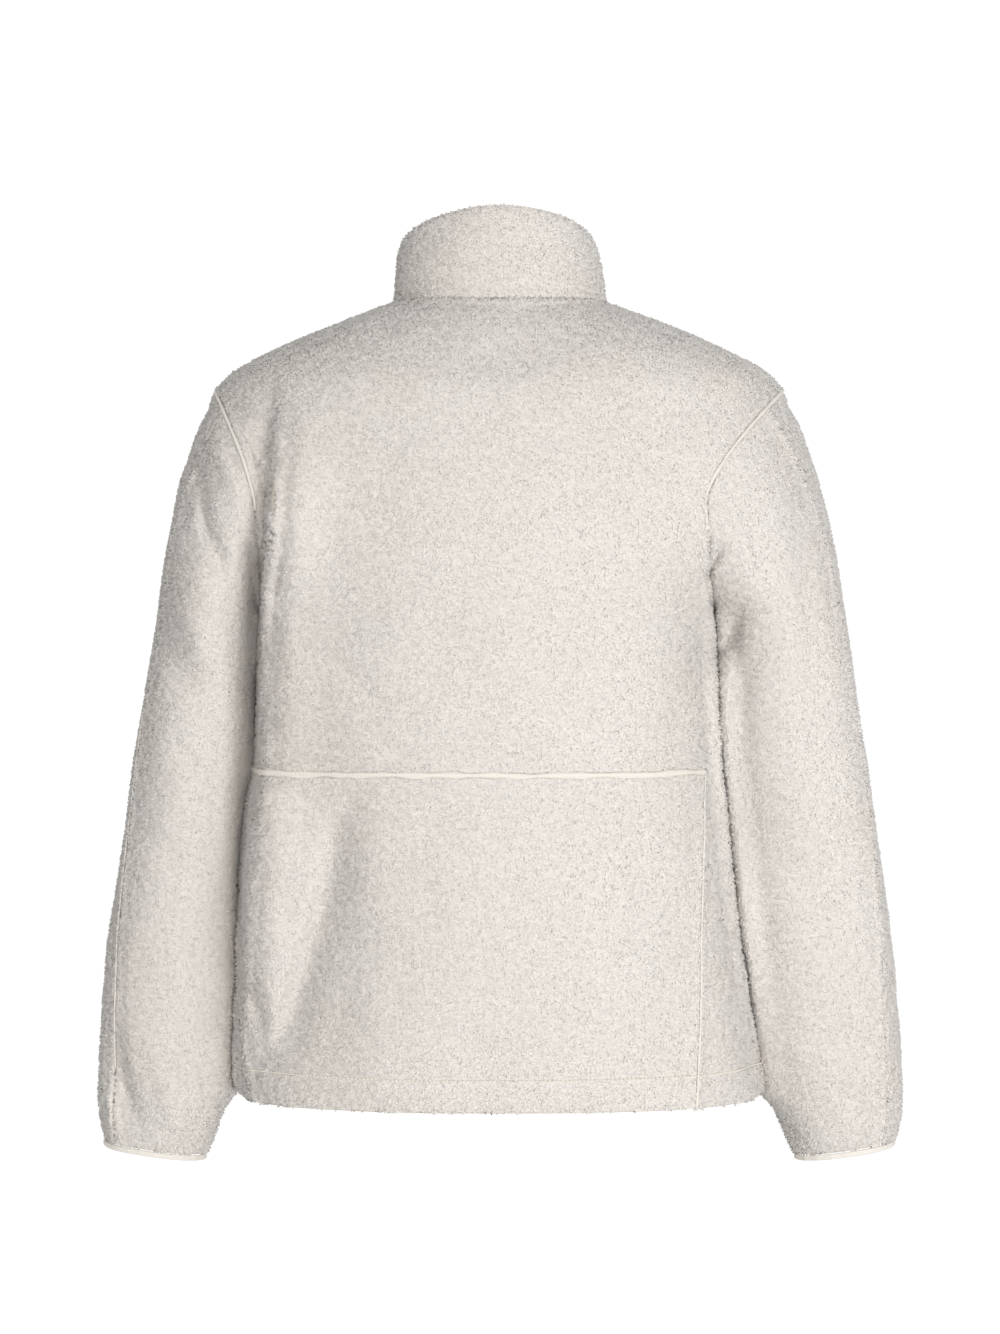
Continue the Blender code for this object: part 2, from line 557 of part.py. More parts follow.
def make_body(grids, normals):
    rows = len(BODY_ROWS)
    for name, part, top_seam in (("back_lower", slice(0, WAIST_ROW + 1), SEAM_DIP),
                                 ("back_upper", slice(WAIST_ROW, rows), SEAM_DIP)):
        points, facing = grids["back"][part], normals["back"][part]
        sides = side_dips(rows)[part]
        foot = SEAM_DIP if name == "back_upper" else 0.0
        dips = seam_dips(points.shape[:2], foot, top_seam, sides, sides)
        under = np.zeros(dips.shape)
        if name == "back_lower":
            hem_dips(dips, under)
        borders = four_borders(points.shape[:2])[:2]
        borders += side_borders(part.start, part.stop - 1, 0, 1)
        borders += side_borders(part.start, part.stop - 1, points.shape[1] - 1, -1)
        wall(name, points, facing, FLEECE, dips, CLOTH, under, borders)
    for name in ("front_left", "front_right"):
        points = grids[name]
        dips = seam_dips(points.shape[:2], 0.0, SEAM_DIP, side_dips(rows), side_dips(rows))
        dips[:, 0 if name == "front_left" else -1] = SEAM_DIP
        under = np.zeros(dips.shape)
        hem_dips(dips, under)
        left = name == "front_left"
        ends = four_borders(points.shape[:2])
        borders = ends[:2] + [ends[2] if left else ends[3]]
        borders += side_borders(0, rows - 1, points.shape[1] - 1 if left else 0, 1 if left else -1)
        wall(name, points, normals[name], FLEECE, dips, CLOTH, under, borders)


def make_sleeves(grids, normals):
    for side in ("left", "right"):
        for part in ("top", "under"):
            name = f"sleeve_{side}_{part}"
            points = grids[name]
            dips = seam_dips(points.shape[:2], SEAM_DIP, CUFF_DIP, SEAM_DIP, SEAM_DIP)
            dips[-2, :] = np.maximum(dips[-2, :], 0.0004)
            borders = four_borders(points.shape[:2])
            borders[0] = (borders[0][0], (1 if side == "left" else -1, 0, 0))
            wall(name, points, normals[name], FLEECE, dips, borders=borders)


def make_cuff_bindings(grids, normals):
    """A narrow stretch band round each sleeve end, set in from the pile."""
    for side in ("left", "right"):
        ring, facing = [], []
        for part in ("under", "top"):
            name = f"sleeve_{side}_{part}"
            ring += list(grids[name][-1][:-1])
            facing += list(normals[name][-1][:-1])
        ring, facing = np.array(ring), np.array(facing)
        facing[:, 2] = 0
        facing = unit(facing)
        drop = np.array([0.0, 0.0, -1.0])
        inset = CUFF_DIP - 0.0004
        profile = ((inset, SEAM_GAP), (inset, CUFF_BAND - 0.0006), (inset + 0.0006, CUFF_BAND),
                   (inset + CUFF_BAND_CLOTH - 0.0006, CUFF_BAND),
                   (inset + CUFF_BAND_CLOTH, CUFF_BAND - 0.0006), (inset + CUFF_BAND_CLOTH, SEAM_GAP))
        mesh = bmesh.new()
        loops = [[mesh.verts.new(p - n * deep + drop * low) for p, n in zip(ring, facing)]
                 for deep, low in profile]
        count = len(ring)
        for here, there in zip(loops, loops[1:] + loops[:1]):
            for j in range(count):
                mesh.faces.new([here[j], here[(j + 1) % count], there[(j + 1) % count], there[j]])
        finish(f"cuff_binding_{side}", mesh, BINDING)


# ---------------------------------------------------------------- the collar
def collar_grid(base):
    """The collar stands on the neck's own points and leans to its rim."""
    angles = np.arctan2(base[:, 1], base[:, 0])
    cos, sin = np.cos(angles), np.sin(angles)
    deep = np.where(sin > 0, RIM["back"], RIM["front"])
    radius = (np.abs(cos / RIM["side"]) ** 2.1 + np.abs(sin / deep) ** 2.1) ** (-1 / 2.1)
    rim_x = radius * cos
    rim_x[0], rim_x[-1] = ZIP_HALF_GAP, -ZIP_HALF_GAP
    end_z = np.where(sin > 0, RIM["back_z"], RIM["front_z"])
    rim_z = RIM["side_z"] + (end_z - RIM["side_z"]) * np.abs(sin) ** 0.7
    rim = np.stack([rim_x, radius * sin, rim_z], axis=-1)
    rows = []
    for share in COLLAR_STEPS:
        point = base + (rim - base) * share
        out = unit(point * np.array([1.0, 1.0, 0.0]))
        belly = 0.0018 * math.sin(math.pi * share) * blend(0.030, np.abs(point[:, :1]) - ZIP_HALF_GAP)
        out[0] = out[-1] = (0.0, -1.0, 0.0)
        rows.append(point + out * belly)
    return np.array(rows)


def make_collar(grid, normals):
    dips = seam_dips(grid.shape[:2], SEAM_DIP, 0.0031, SEAM_DIP, SEAM_DIP)
    dips[-2, :] = np.maximum(dips[-2, :], 0.0011)
    under = np.zeros(dips.shape)
    under[-1, :] = 0.0031
    under[-2, :] = 0.0011
    under[0, :] = COLLAR_CLOTH - CLOTH
    wall("collar", grid, normals, FLEECE, dips, COLLAR_CLOTH, under)


# ---------------------------------------------------------------- the zip
def zip_line(grids, normals):
    """The middle line of the front, from the hem to the rim: points at the pile, and normals."""
    left = np.concatenate([grids["front_left"][:, 0], grids["collar"][1:, 0]])
    facing = np.concatenate([normals["front_left"][:, 0], normals["collar"][1:, 0]])
    line = left * np.array([0.0, 1.0, 1.0])
    facing = unit(facing * np.array([0.0, 1.0, 1.0]))
    return line, facing


def bar_along(name, line, facing, x0, x1, top, under, recipe):
    """A bar of rectangular section that runs along the zip."""
    mesh = bmesh.new()
    rings = []
    for point, normal in zip(line, facing):
        rings.append([mesh.verts.new(point - normal * depth + np.array([x, 0, 0]))
                      for x, depth in ((x0, top), (x1, top), (x1, under), (x0, under))])
    for here, there in zip(rings[:-1], rings[1:]):
        for k in range(4):
            mesh.faces.new([here[k], here[(k + 1) % 4], there[(k + 1) % 4], there[k]])
    mesh.faces.new(rings[0])
    mesh.faces.new(rings[-1])
    finish(name, mesh, recipe)


def cut_line(line, facing, low, high):
    """The stretch of the zip line between two heights, with exact ends."""
    z = line[:, 2]
    inside = (z > low + 0.0015) & (z < high - 0.0015)
    inside[1::2] = False
    ends = []
    for level in (low, high):
        i = int(np.clip(np.searchsorted(z, level) - 1, 0, len(z) - 2))
        t = (level - z[i]) / (z[i + 1] - z[i])
        point = line[i] + t * (line[i + 1] - line[i])
        ends.append((point, unit(facing[i] + t * (facing[i + 1] - facing[i]))))
    points = np.concatenate([[ends[0][0]], line[inside], [ends[1][0]]])
    normals = np.concatenate([[ends[0][1]], facing[inside], [ends[1][1]]])
    return points, normals


def block(name, low, high, recipe, bevel=0.0):
    """A rectangular block between two corners, with soft edges."""
    mesh = bmesh.new()
    bmesh.ops.create_cube(mesh, size=1.0)
    low, high = np.array(low), np.array(high)
    for vert in mesh.verts:
        vert.co = [(low[k] + high[k]) / 2 + vert.co[k] * (high[k] - low[k]) for k in range(3)]
    item = finish(name, mesh, recipe)
    if bevel:
        soft = item.modifiers.new("soft_edges", "BEVEL")
        soft.width = bevel
        soft.segments = 1
    return item


def outline_plate(name, outline, x0, x1, recipe):
    """A plate with an outline in the YZ plane, from x0 to x1."""
    mesh = bmesh.new()
    near = [mesh.verts.new((x0, y, z)) for y, z in outline]
    far = [mesh.verts.new((x1, y, z)) for y, z in outline]
    mesh.faces.new(near)
    mesh.faces.new(far[::-1])
    count = len(outline)
    for k in range(count):
        mesh.faces.new([near[k], near[(k + 1) % count], far[(k + 1) % count], far[k]])
    return finish(name, mesh, recipe)


def join_to(item, other):
    """Unites a helper solid with an item; the helper itself isn't part of the model."""
    other.hide_render = True
    other.display_type = "WIRE"
    union = item.modifiers.new("with_" + other.name, "BOOLEAN")
    union.operation = "UNION"
    union.object = other


def make_zip(grids, normals):
    line, facing = zip_line(grids, normals)
    bottom, rim_z = line[0][2], line[-1][2]
    front_y = line[-1][1]
    slider_top = rim_z - SLIDER_BELOW_RIM
    slider_low = slider_top - SLIDER_LENGTH
    post_low = slider_top - SLIDER_POST

    tape_line = cut_line(line, facing, bottom + 0.001, rim_z - 0.0010)
    for side, out in (("left", 1), ("right", -1)):
        x0, x1 = sorted((out * TAPE_INNER, out * TAPE_OUTER))
        bar_along(f"zip_tape_{side}", *tape_line, x0, x1, TAPE_TOP, TAPE_UNDER, TAPE)
    teeth_line = cut_line(line, facing, bottom + 0.001 + BOX_HEIGHT + SEAM_GAP, post_low - SEAM_GAP)
    bar_along("zip_chain", *teeth_line, -TEETH_HALF, TEETH_HALF, TEETH_TOP, TEETH_UNDER, TEETH)

    box_low, box_high = bottom + 0.001, bottom + 0.001 + BOX_HEIGHT
    box_front = min(line[0][1], cut_line(line, facing, bottom, box_high)[0][-1][1]) - BOX_PROUD
    block("zip_box", (-BOX_HALF, box_front, box_low),
          (BOX_HALF, box_front + BOX_DEPTH, box_high), METAL, 0.0005)

    plate_top = front_y + TEETH_TOP - SEAM_GAP          # the front plate's face on the teeth
    plate_out = plate_top - SLIDER_PLATE
    under_in = front_y + TEETH_UNDER + SEAM_GAP
    under_out = under_in + SLIDER_PLATE
    slider = block("zip_slider", (-SLIDER_HALF, plate_out, slider_low),
                   (SLIDER_HALF, plate_top, slider_top), METAL)
    under = block("slider_under_plate", (-SLIDER_HALF + 0.0008, under_in, slider_low),
                  (SLIDER_HALF - 0.0008, under_out, slider_top), METAL)
    post = block("slider_post", (-SLIDER_POST_HALF, plate_out + 0.0004, post_low),
                 (SLIDER_POST_HALF, under_out - 0.0004, slider_top - 0.0004), METAL)
    pin_y = plate_out - PIN_ROOM - PIN / 2
    pin_z = slider_top - 0.0042
    room = PIN / 2 + PIN_ROOM
    low_leg, high_leg = pin_z - 0.0038, pin_z + room + 0.0003
    inside_y = pin_y - room
    outside_y = inside_y - BRIDGE_WALL
    foot_y = plate_out + 0.0004                         # sunk into the front plate
    outline = ((foot_y, high_leg + BRIDGE_WALL), (outside_y + 0.0006, high_leg + BRIDGE_WALL),
               (outside_y, high_leg - 0.0002), (outside_y, low_leg + 0.0010),
               (outside_y + 0.0006, low_leg - BRIDGE_WALL), (foot_y, low_leg - BRIDGE_WALL),
               (foot_y, low_leg), (inside_y + 0.0004, low_leg), (inside_y, low_leg + 0.0006),
               (inside_y, high_leg), (foot_y, high_leg))
    bridge = outline_plate("slider_bridge", outline, -BRIDGE_HALF, BRIDGE_HALF, METAL)
    for helper in (under, post, bridge):
        join_to(slider, helper)

    make_pull(pin_y, pin_z)
    stop_low = slider_top + 0.0008
    for side, out in (("left", 1), ("right", -1)):
        x0, x1 = sorted((out * (TAPE_INNER - 0.0006), out * (TAPE_OUTER - 0.0002)))
        block(f"zip_stop_{side}", (x0, front_y + TAPE_TOP - SEAM_GAP - 0.0016, stop_low),
              (x1, front_y + TAPE_TOP - SEAM_GAP, stop_low + STOP_HEIGHT), METAL, 0.0003)


def make_pull(pin_y, pin_z):
    """A flat tab with a window; its top bar is the pin, and its origin is on the pin."""
    half = PIN / 2
    right_half = ((PULL_HALF - 0.0008, half), (PULL_HALF, half - 0.0008),
                  (PULL_HALF, 0.0022 - PULL_LENGTH), (PULL_HALF - 0.0022, -PULL_LENGTH))
    outer = right_half + tuple((-x, z) for x, z in right_half[::-1])
    side = PULL_HALF - PULL_SIDE
    window = ((-side, -half), (side, -half), (side, -half - PULL_WINDOW), (-side, -half - PULL_WINDOW))
    mesh = bmesh.new()
    rings = []
    for y in (-half, half):
        rings.append([[mesh.verts.new((x, y, z)) for x, z in outline] for outline in (outer, window)])
    for ring in rings:
        edges = []
        for loop in ring:
            edges += [mesh.edges.new((loop[k], loop[(k + 1) % len(loop)])) for k in range(len(loop))]
        bmesh.ops.triangle_fill(mesh, edges=edges, use_beauty=True, use_dissolve=False)
    for near, far in zip(rings[0], rings[1]):
        count = len(near)
        for k in range(count):
            mesh.faces.new([near[k], near[(k + 1) % count], far[(k + 1) % count], far[k]])
    finish("zip_pull", mesh, METAL, at=(0.0, pin_y, pin_z))


# ---------------------------------------------------------------- the whole jacket
def armhole_of(grids, side):
    """The armhole's points by degrees, from the body's own edges."""
    loop = {}
    back_column = 0 if side == "left" else -1
    front = grids["front_left"][:, -1] if side == "left" else grids["front_right"][:, 0]
    for k, turn in enumerate(LOOP_TURNS):
        degrees = round(math.degrees(turn))
        loop[degrees % 360] = grids["back"][PIT_ROW + k, back_column]
        loop[-degrees % 360] = front[PIT_ROW + k]
    return loop


def loop_normals(loops):
    fixed = []
    for side, loop in loops.items():
        normals = {degrees: loop_normal(side, math.radians(degrees)) for degrees in loop}
        fixed += [(point, normals[degrees]) for degrees, point in loop.items()]
        for degrees in UNDER_TURNS + TOP_TURNS:
            fixed.append((loop_between(loop, degrees), unit(loop_between(normals, degrees))))
    return fixed


def main():
    for item in list(bpy.data.objects):
        bpy.data.objects.remove(item, do_unlink=True)

    grids = body_grids()
    loops = {side: armhole_of(grids, side) for side in ("left", "right")}
    normals = grid_normals(grids, (), loop_normals(loops))
    for name in grids:
        grids[name] = grids[name] - normals[name] * fold_push(grids[name], "body")[..., None]

    loops = {side: armhole_of(grids, side) for side in ("left", "right")}
    turned = {"sleeve_left_under", "sleeve_left_top"}
    sleeves = {f"sleeve_{side}_{part}": sleeve_grid(side, turns, loops[side])
               for side in ("left", "right")
               for part, turns in (("under", UNDER_TURNS), ("top", TOP_TURNS))}
    normals = grid_normals(sleeves, turned, loop_normals(loops))
    for name, grid in sleeves.items():
        push = fold_push(grid, name.split("_")[1])
        push[0, :] = 0
        sleeves[name] = grid - normals[name] * push[..., None]
    grids.update(sleeves)

    base = np.concatenate([grids["front_left"][-1], grids["back"][-1][1:], grids["front_right"][-1][1:]])
    grids["collar"] = collar_grid(base)
    normals = grid_normals(grids, turned, loop_normals(loops))

    make_body(grids, normals)
    make_sleeves(grids, normals)
    make_cuff_bindings(grids, normals)
    make_collar(grids["collar"], normals["collar"])
    make_zip(grids, normals)


main()
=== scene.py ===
# %% [markdown]
# # A sherpa fleece zip-up jacket
# The real jacket is cut from a knitted cloth with a deep, curly pile. Nine cut pieces of it are
# sewn into a body, two sleeves and a stand collar, and a zip closes the front. The solids of the
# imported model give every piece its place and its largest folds. This lesson dresses them: a thin
# ground cloth, a pile of many small tufts, the stitched seams, the zip and the light.

# %% The frame
import json
import math
from contextlib import contextmanager
from functools import partial

import bpy
import numpy as np
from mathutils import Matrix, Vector, kdtree, noise
from mathutils.bvhtree import BVHTree

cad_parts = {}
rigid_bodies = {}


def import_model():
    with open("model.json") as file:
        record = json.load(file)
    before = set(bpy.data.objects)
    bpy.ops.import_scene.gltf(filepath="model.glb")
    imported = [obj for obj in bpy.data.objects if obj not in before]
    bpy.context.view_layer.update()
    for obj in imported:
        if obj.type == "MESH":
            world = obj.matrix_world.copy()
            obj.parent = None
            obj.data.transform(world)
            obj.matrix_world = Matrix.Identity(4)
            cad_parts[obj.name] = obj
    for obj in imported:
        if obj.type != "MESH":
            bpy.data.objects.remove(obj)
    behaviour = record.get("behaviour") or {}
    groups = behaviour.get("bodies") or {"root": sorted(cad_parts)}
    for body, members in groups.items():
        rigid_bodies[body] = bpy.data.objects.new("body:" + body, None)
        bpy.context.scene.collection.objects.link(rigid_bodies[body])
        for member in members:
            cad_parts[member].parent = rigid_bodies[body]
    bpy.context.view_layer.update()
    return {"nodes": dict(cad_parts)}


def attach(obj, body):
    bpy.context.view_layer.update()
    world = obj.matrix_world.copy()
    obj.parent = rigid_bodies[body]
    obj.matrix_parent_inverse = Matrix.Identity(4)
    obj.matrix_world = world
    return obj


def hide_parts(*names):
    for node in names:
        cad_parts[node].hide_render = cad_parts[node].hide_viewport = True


bpy.ops.object.select_all(action="SELECT")      # the cube, lamp and camera of an empty file
bpy.ops.object.delete()
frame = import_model()
MM = 0.001
JACKET = "jacket"
BODY_PANELS = ("back_upper", "back_lower", "front_left", "front_right")
SLEEVE_PANELS = ("sleeve_left_top", "sleeve_left_under", "sleeve_right_top", "sleeve_right_under")
PANELS = BODY_PANELS + SLEEVE_PANELS + ("collar",)

# %% [markdown]
# ## The camera
# The photograph looks square at the back from a few metres, level with the middle of the jacket,
# so a long lens stands 2.7 m behind it. The lens length follows from the height that the frame
# covers at that distance.

# %% The camera
VIEW_DISTANCE = 2.7
VIEW_HEIGHT = -0.304
SENSOR = 36.0
PIXEL = 0.835 * MM                          # what one pixel of the photograph covers at the jacket
MIDDLE_PIXEL = (500.5, 667)
FRAME_HEIGHT = 2 * MIDDLE_PIXEL[1] * PIXEL
bpy.ops.object.camera_add(location=(0, VIEW_DISTANCE, VIEW_HEIGHT), rotation=(math.pi / 2, 0, math.pi))
camera = bpy.context.object
camera.data.sensor_width = SENSOR
camera.data.lens = SENSOR * VIEW_DISTANCE / FRAME_HEIGHT
bpy.context.scene.camera = camera
print("lens", round(camera.data.lens, 1), "mm")


# %% [markdown]
# ## Two small helpers for materials
# Colours are easiest to read off as the hex values of a screen, which are sRGB, while shaders want
# linear light. Every node in this lesson, in a material or in a geometry tree, is added by the
# same short function.

# %% Colours and nodes
def colour(code):
    """An sRGB hex colour as linear RGBA."""
    parts = [int(code[i:i + 2], 16) / 255 for i in (1, 3, 5)]
    return (*[p / 12.92 if p <= 0.04045 else ((p + 0.055) / 1.055) ** 2.4 for p in parts], 1.0)


def set_sockets(node, values):
    """Gives a node's sockets, by name or number or in order, a value or a link from another node."""
    for name, value in (values if isinstance(values, dict) else dict(enumerate(values))).items():
        if isinstance(value, bpy.types.NodeSocket):
            node.id_data.links.new(value, node.inputs[name])
        else:
            node.inputs[name].default_value = value


def add_node(tree, kind, inputs=(), **settings):
    """Adds a node with its settings, gives its inputs values and links, and returns its outputs."""
    made = tree.nodes.new(kind)
    for name, value in settings.items():
        setattr(made, name, value)
    set_sockets(made, inputs)
    return made.outputs


def new_material(name):
    """A plain material, what adds nodes to it, and its shader."""
    made = bpy.data.materials.new(name)
    made.use_nodes = True
    return made, partial(add_node, made.node_tree), made.node_tree.nodes["Principled BSDF"]


print("white as light", colour("#FFFFFF"))


# %% [markdown]
# ## What each material is
# Sherpa is a polyester knit whose pile has been teased and heat-set into curls. It has no gloss,
# but a bright fuzzy edge, which the sheen gives. Each tuft is given painted shade at its root, a
# little darker and warmer there, and no two tufts have quite the same tone, so three things mix its
# colour: how far up the tuft a point is, a tone that each tuft carries, and soft patches a hand wide.

# %% The pile
# The root colour is painted shade: each tuft is drawn a little darker and warmer at its root than near its
# tip.
PILE_LIGHT, PILE_WARM, PILE_ROOT_SHADE = colour("#F0ECE7"), colour("#EFE8E0"), colour("#EEE8E1")
PATCH_SIZE = 0.075
pile_material, add, shader = new_material("sherpa_polyester_pile")
place = add("ShaderNodeTexCoord")["Object"]
patches = add("ShaderNodeTexNoise", {"Vector": place, "Scale": 1 / PATCH_SIZE, "Detail": 3.0})
spread = add("ShaderNodeMapRange", {0: patches[0], 1: 0.38, 2: 0.62})
patched = add("ShaderNodeMix", {0: spread[0], 6: PILE_LIGHT, 7: PILE_WARM}, data_type="RGBA")
tip = add("ShaderNodeAttribute", attribute_name="tip")
tone = add("ShaderNodeAttribute", attribute_name="tone")
rise = add("ShaderNodeMapRange", {0: tip["Fac"], 1: 0.0, 2: 0.8})
# painted shade: from its root to near its tip, a tuft fades from the darker root colour to its own
root_shaded = add("ShaderNodeMix", {0: rise[0], 6: PILE_ROOT_SHADE, 7: patched[2]}, data_type="RGBA")
toned = add("ShaderNodeHueSaturation", {"Color": root_shaded[2], "Value": tone["Fac"]})
set_sockets(shader, {"Base Color": toned["Color"], "Roughness": 0.9, "Specular IOR Level": 0.15,
                     "Sheen Weight": 0.35, "Sheen Roughness": 0.6})

# %% [markdown]
# The ground of the cloth is a fine knit. It shows only between the tufts and inside the garment,
# where its rows of stitches run across the piece. Its colour carries painted shade: darker than the
# pile inside the garment, and the colour of the tufts' shaded roots where pile grows. Real rows are
# about 1.3 mm high, which is close to the size of one picture dot, so they are drawn at 2 mm.

# %% The knitted ground
KNIT_ROW, MOTTLE = 2 * MM, 12 * MM
WAVE_PER_METRE = 0.314                      # the scale at which a wave texture repeats once a metre
ground_material, add, shader = new_material("knitted_polyester_ground")
place = add("ShaderNodeTexCoord")["Object"]
rows = add("ShaderNodeTexWave", {"Vector": place, "Scale": WAVE_PER_METRE / KNIT_ROW,
                                 "Distortion": 1.2, "Detail": 1.0, "Detail Scale": 2.0}, bands_direction="Z")
mottle = add("ShaderNodeTexNoise", {"Vector": place, "Scale": 1 / MOTTLE, "Detail": 4.0})
# the knit's two tones are darker than the pile: painted shade inside the garment and along the rims, with a
# random mottle between them
tint = add("ShaderNodeMix", {0: mottle[0], 6: colour("#D6CBBD"), 7: colour("#E0D7CB")}, data_type="RGBA")
bump = add("ShaderNodeBump", {"Strength": 0.5, "Distance": 0.0004, "Height": rows["Fac"]})
outside = add("ShaderNodeAttribute", attribute_name="pile")
# where pile grows, the ground between the tufts takes the painted shade of their roots instead
shaded_ground_colour = add("ShaderNodeMix", {0: outside["Fac"], 6: tint[2], 7: PILE_ROOT_SHADE}, data_type="RGBA")
set_sockets(shader, {"Base Color": shaded_ground_colour[2], "Normal": bump[0], "Roughness": 0.95,
                     "Specular IOR Level": 0.15, "Sheen Weight": 0.2, "Sheen Roughness": 0.5})

# %% [markdown]
# The seam tape, the cuff binding, the thread, the zip's tape, its moulded teeth and its metal are
# all small. What sets them apart in the picture is their tone: tape and thread are smoother than
# the pile, so they catch more light and read as pale lines.

# %% Tape and thread
def two_tones(name, kind, pattern, tones, look, bump=None, **settings):
    """A material that wavers between two tones with a pattern, and may be raised by it."""
    made, add, shader = new_material(name)
    place = add("ShaderNodeTexCoord")["Object"]
    share = add(kind, {"Vector": place, **pattern}, **settings)["Fac"]
    tint = add("ShaderNodeMix", {0: share, 6: colour(tones[0]), 7: colour(tones[1])}, data_type="RGBA")
    set_sockets(shader, {"Base Color": tint[2], **look})
    if bump:
        raised = add("ShaderNodeBump", {"Strength": bump[0], "Distance": bump[1], "Height": share})
        set_sockets(shader, {"Normal": raised[0]})
    return made, share


NOISE = "ShaderNodeTexNoise"
RIB, STRAND = 1.6 * MM, 1.0 * MM            # a fine 1 by 1 rib, and a thread's twist, both drawn coarse
# knitted and pressed flat, so its ribs are soft and it has a faint bloom
tape_material, _ = two_tones("ribbed_polyester_tape", NOISE, {"Scale": 1 / RIB, "Detail": 1.0},
                             ("#E9E3DA", "#F2EDE4"), {"Roughness": 0.75, "Specular IOR Level": 0.3,
                             "Sheen Weight": 0.3, "Sheen Roughness": 0.4}, bump=(0.35, 0.3 * MM))
# spun and waxed for sewing, so it is a little shinier than any cloth here
thread_material, _ = two_tones("spun_polyester_thread", NOISE, {"Scale": 1 / STRAND, "Detail": 2.0},
                               ("#EAE2D6", "#F6F1E8"), {"Roughness": 0.6, "Specular IOR Level": 0.4})
print("made", tape_material.name, "and", thread_material.name)

# %% The zip's materials
WEFT, MARBLING, BRUSHING = 1.2 * MM, 4 * MM, 1.5 * MM
# woven flat and tight, so it is matt with fine level ribs
woven_material, _ = two_tones("woven_polyester_zip_tape", "ShaderNodeTexWave",
                              {"Scale": WAVE_PER_METRE / WEFT, "Distortion": 0.3}, ("#D8CFC2", "#E6DED2"),
                              {"Roughness": 0.85, "Specular IOR Level": 0.25}, bump=(0.4, 0.2 * MM),
                              bands_direction="Z")
# moulded in one shot from dyed acetal, so it is even, with a soft plastic gloss
teeth_material, _ = two_tones("moulded_acetal_teeth", NOISE, {"Scale": 1 / MARBLING, "Detail": 2.0},
                              ("#E3DBCD", "#EAE3D7"), {"Roughness": 0.38, "IOR": 1.48})
# die-cast, tumbled and plated, so its gloss is broken by fine marks
metal_material, marks = two_tones("satin_nickel_plated_zinc", NOISE, {"Scale": 1 / BRUSHING, "Detail": 3.0},
                                  ("#B9B4AB", "#C9C5BD"), {"Metallic": 1.0})
gloss = add_node(metal_material.node_tree, "ShaderNodeMapRange", {0: marks, 3: 0.28, 4: 0.42})
set_sockets(metal_material.node_tree.nodes["Principled BSDF"], {"Roughness": gloss[0]})
print("materials", [made.name for made in bpy.data.materials])

# %% [markdown]
# ## Reading the solids
# A wall of the model has an outer and an inner skin. To tell them apart, each point is compared
# with the middle of the tube it belongs to: the body stands round the origin's axis, and each
# sleeve hangs round a slanting line. Where two pieces meet, 0.3 mm apart, their edge points come
# in pairs, and the middle of each pair lies on the seam.

# %% The middle of each tube
SLEEVE_AXIS = ((-0.720, 0.291, -0.026), (-0.577, 0.276, -0.019), (-0.420, 0.260, -0.013),
               (-0.300, 0.242, -0.008), (-0.170, 0.210, 0.000))      # height, distance out, depth
BODY_TOP = -0.160


def middle_of(points, panel):
    z = points[:, 2]
    if not panel.startswith("sleeve"):
        top = 1.0 if panel == "collar" else BODY_TOP
        return np.stack([0 * z, 0 * z, np.minimum(z, top)], axis=1)
    heights, out, deep = np.array(SLEEVE_AXIS).T
    z = np.minimum(z, heights[-1])
    side = 1 if "left" in panel else -1
    return np.stack([side * np.interp(z, heights, out), np.interp(z, heights, deep), z], axis=1)


def faces_out(points, normals, panel):
    return np.sum(normals * (points - middle_of(points, panel)), axis=1) > 0


def coordinates(mesh, what="co"):
    found = np.empty(len(mesh.vertices) * 3)
    mesh.vertices.foreach_get(what, found)
    return found.reshape(-1, 3)


def select_only(*objects):
    """Selects these objects and nothing else, or nothing at all."""
    bpy.ops.object.select_all(action="DESELECT")
    for item in objects:
        item.select_set(True)
        bpy.context.view_layer.objects.active = item


@contextmanager
def edit_mode(piece):
    """Edit mode on one piece, with all of it selected."""
    select_only(piece)
    bpy.ops.object.mode_set(mode="EDIT")
    bpy.ops.mesh.select_all(action="SELECT")
    yield
    bpy.ops.object.mode_set(mode="OBJECT")


def new_object(name, mesh):
    made = bpy.data.objects.new(name, mesh)
    bpy.context.collection.objects.link(made)
    return made


def tell(pieces):
    for piece in pieces:
        print(piece.name, "faces", len(piece.data.polygons))


ONE_POINT = 0.02 * MM                       # corners closer than this are one corner


def merged_copy(node_name, name):
    """A free copy of a solid, with its loose triangles joined up."""
    piece = new_object(name, frame["nodes"][node_name].data.copy())
    piece.data.materials.clear()
    with edit_mode(piece):
        bpy.ops.mesh.remove_doubles(threshold=ONE_POINT)
        bpy.ops.mesh.customdata_custom_splitnormals_clear()
    return piece


cloths = {panel: merged_copy(panel, "cloth_" + panel) for panel in PANELS}
skins = {panel: (coordinates(cloth.data), coordinates(cloth.data, "normal"))
         for panel, cloth in cloths.items()}
print("panels", len(cloths), "points", sum(len(points) for points, _ in skins.values()))


# %% Seam lines
PAIR_GAP = 0.55 * MM                        # points of two panels this close to each other face across a seam
SEAM_STEP = 3 * MM


def finder_of(points):
    tree = kdtree.KDTree(len(points))
    for index, point in enumerate(points):
        tree.insert(point, index)
    tree.balance()
    return tree


def seam_pairs(first, second):
    """Points and outward normals along the seam between two panels, in no order."""
    points, normals = skins[first]
    others, other_normals = skins[second]
    finder = finder_of(others)
    found = []
    for point, normal in zip(points, normals):
        _, index, distance = finder.find(point)
        if distance < PAIR_GAP:
            found.append(((point + others[index]) / 2, normal + other_normals[index]))
    if not found:
        return np.empty((0, 3)), np.empty((0, 3))
    middles, facing = (np.array(column) for column in zip(*found))
    facing /= np.linalg.norm(facing, axis=1, keepdims=True)
    out = faces_out(middles, facing, first)
    return middles[out], facing[out]


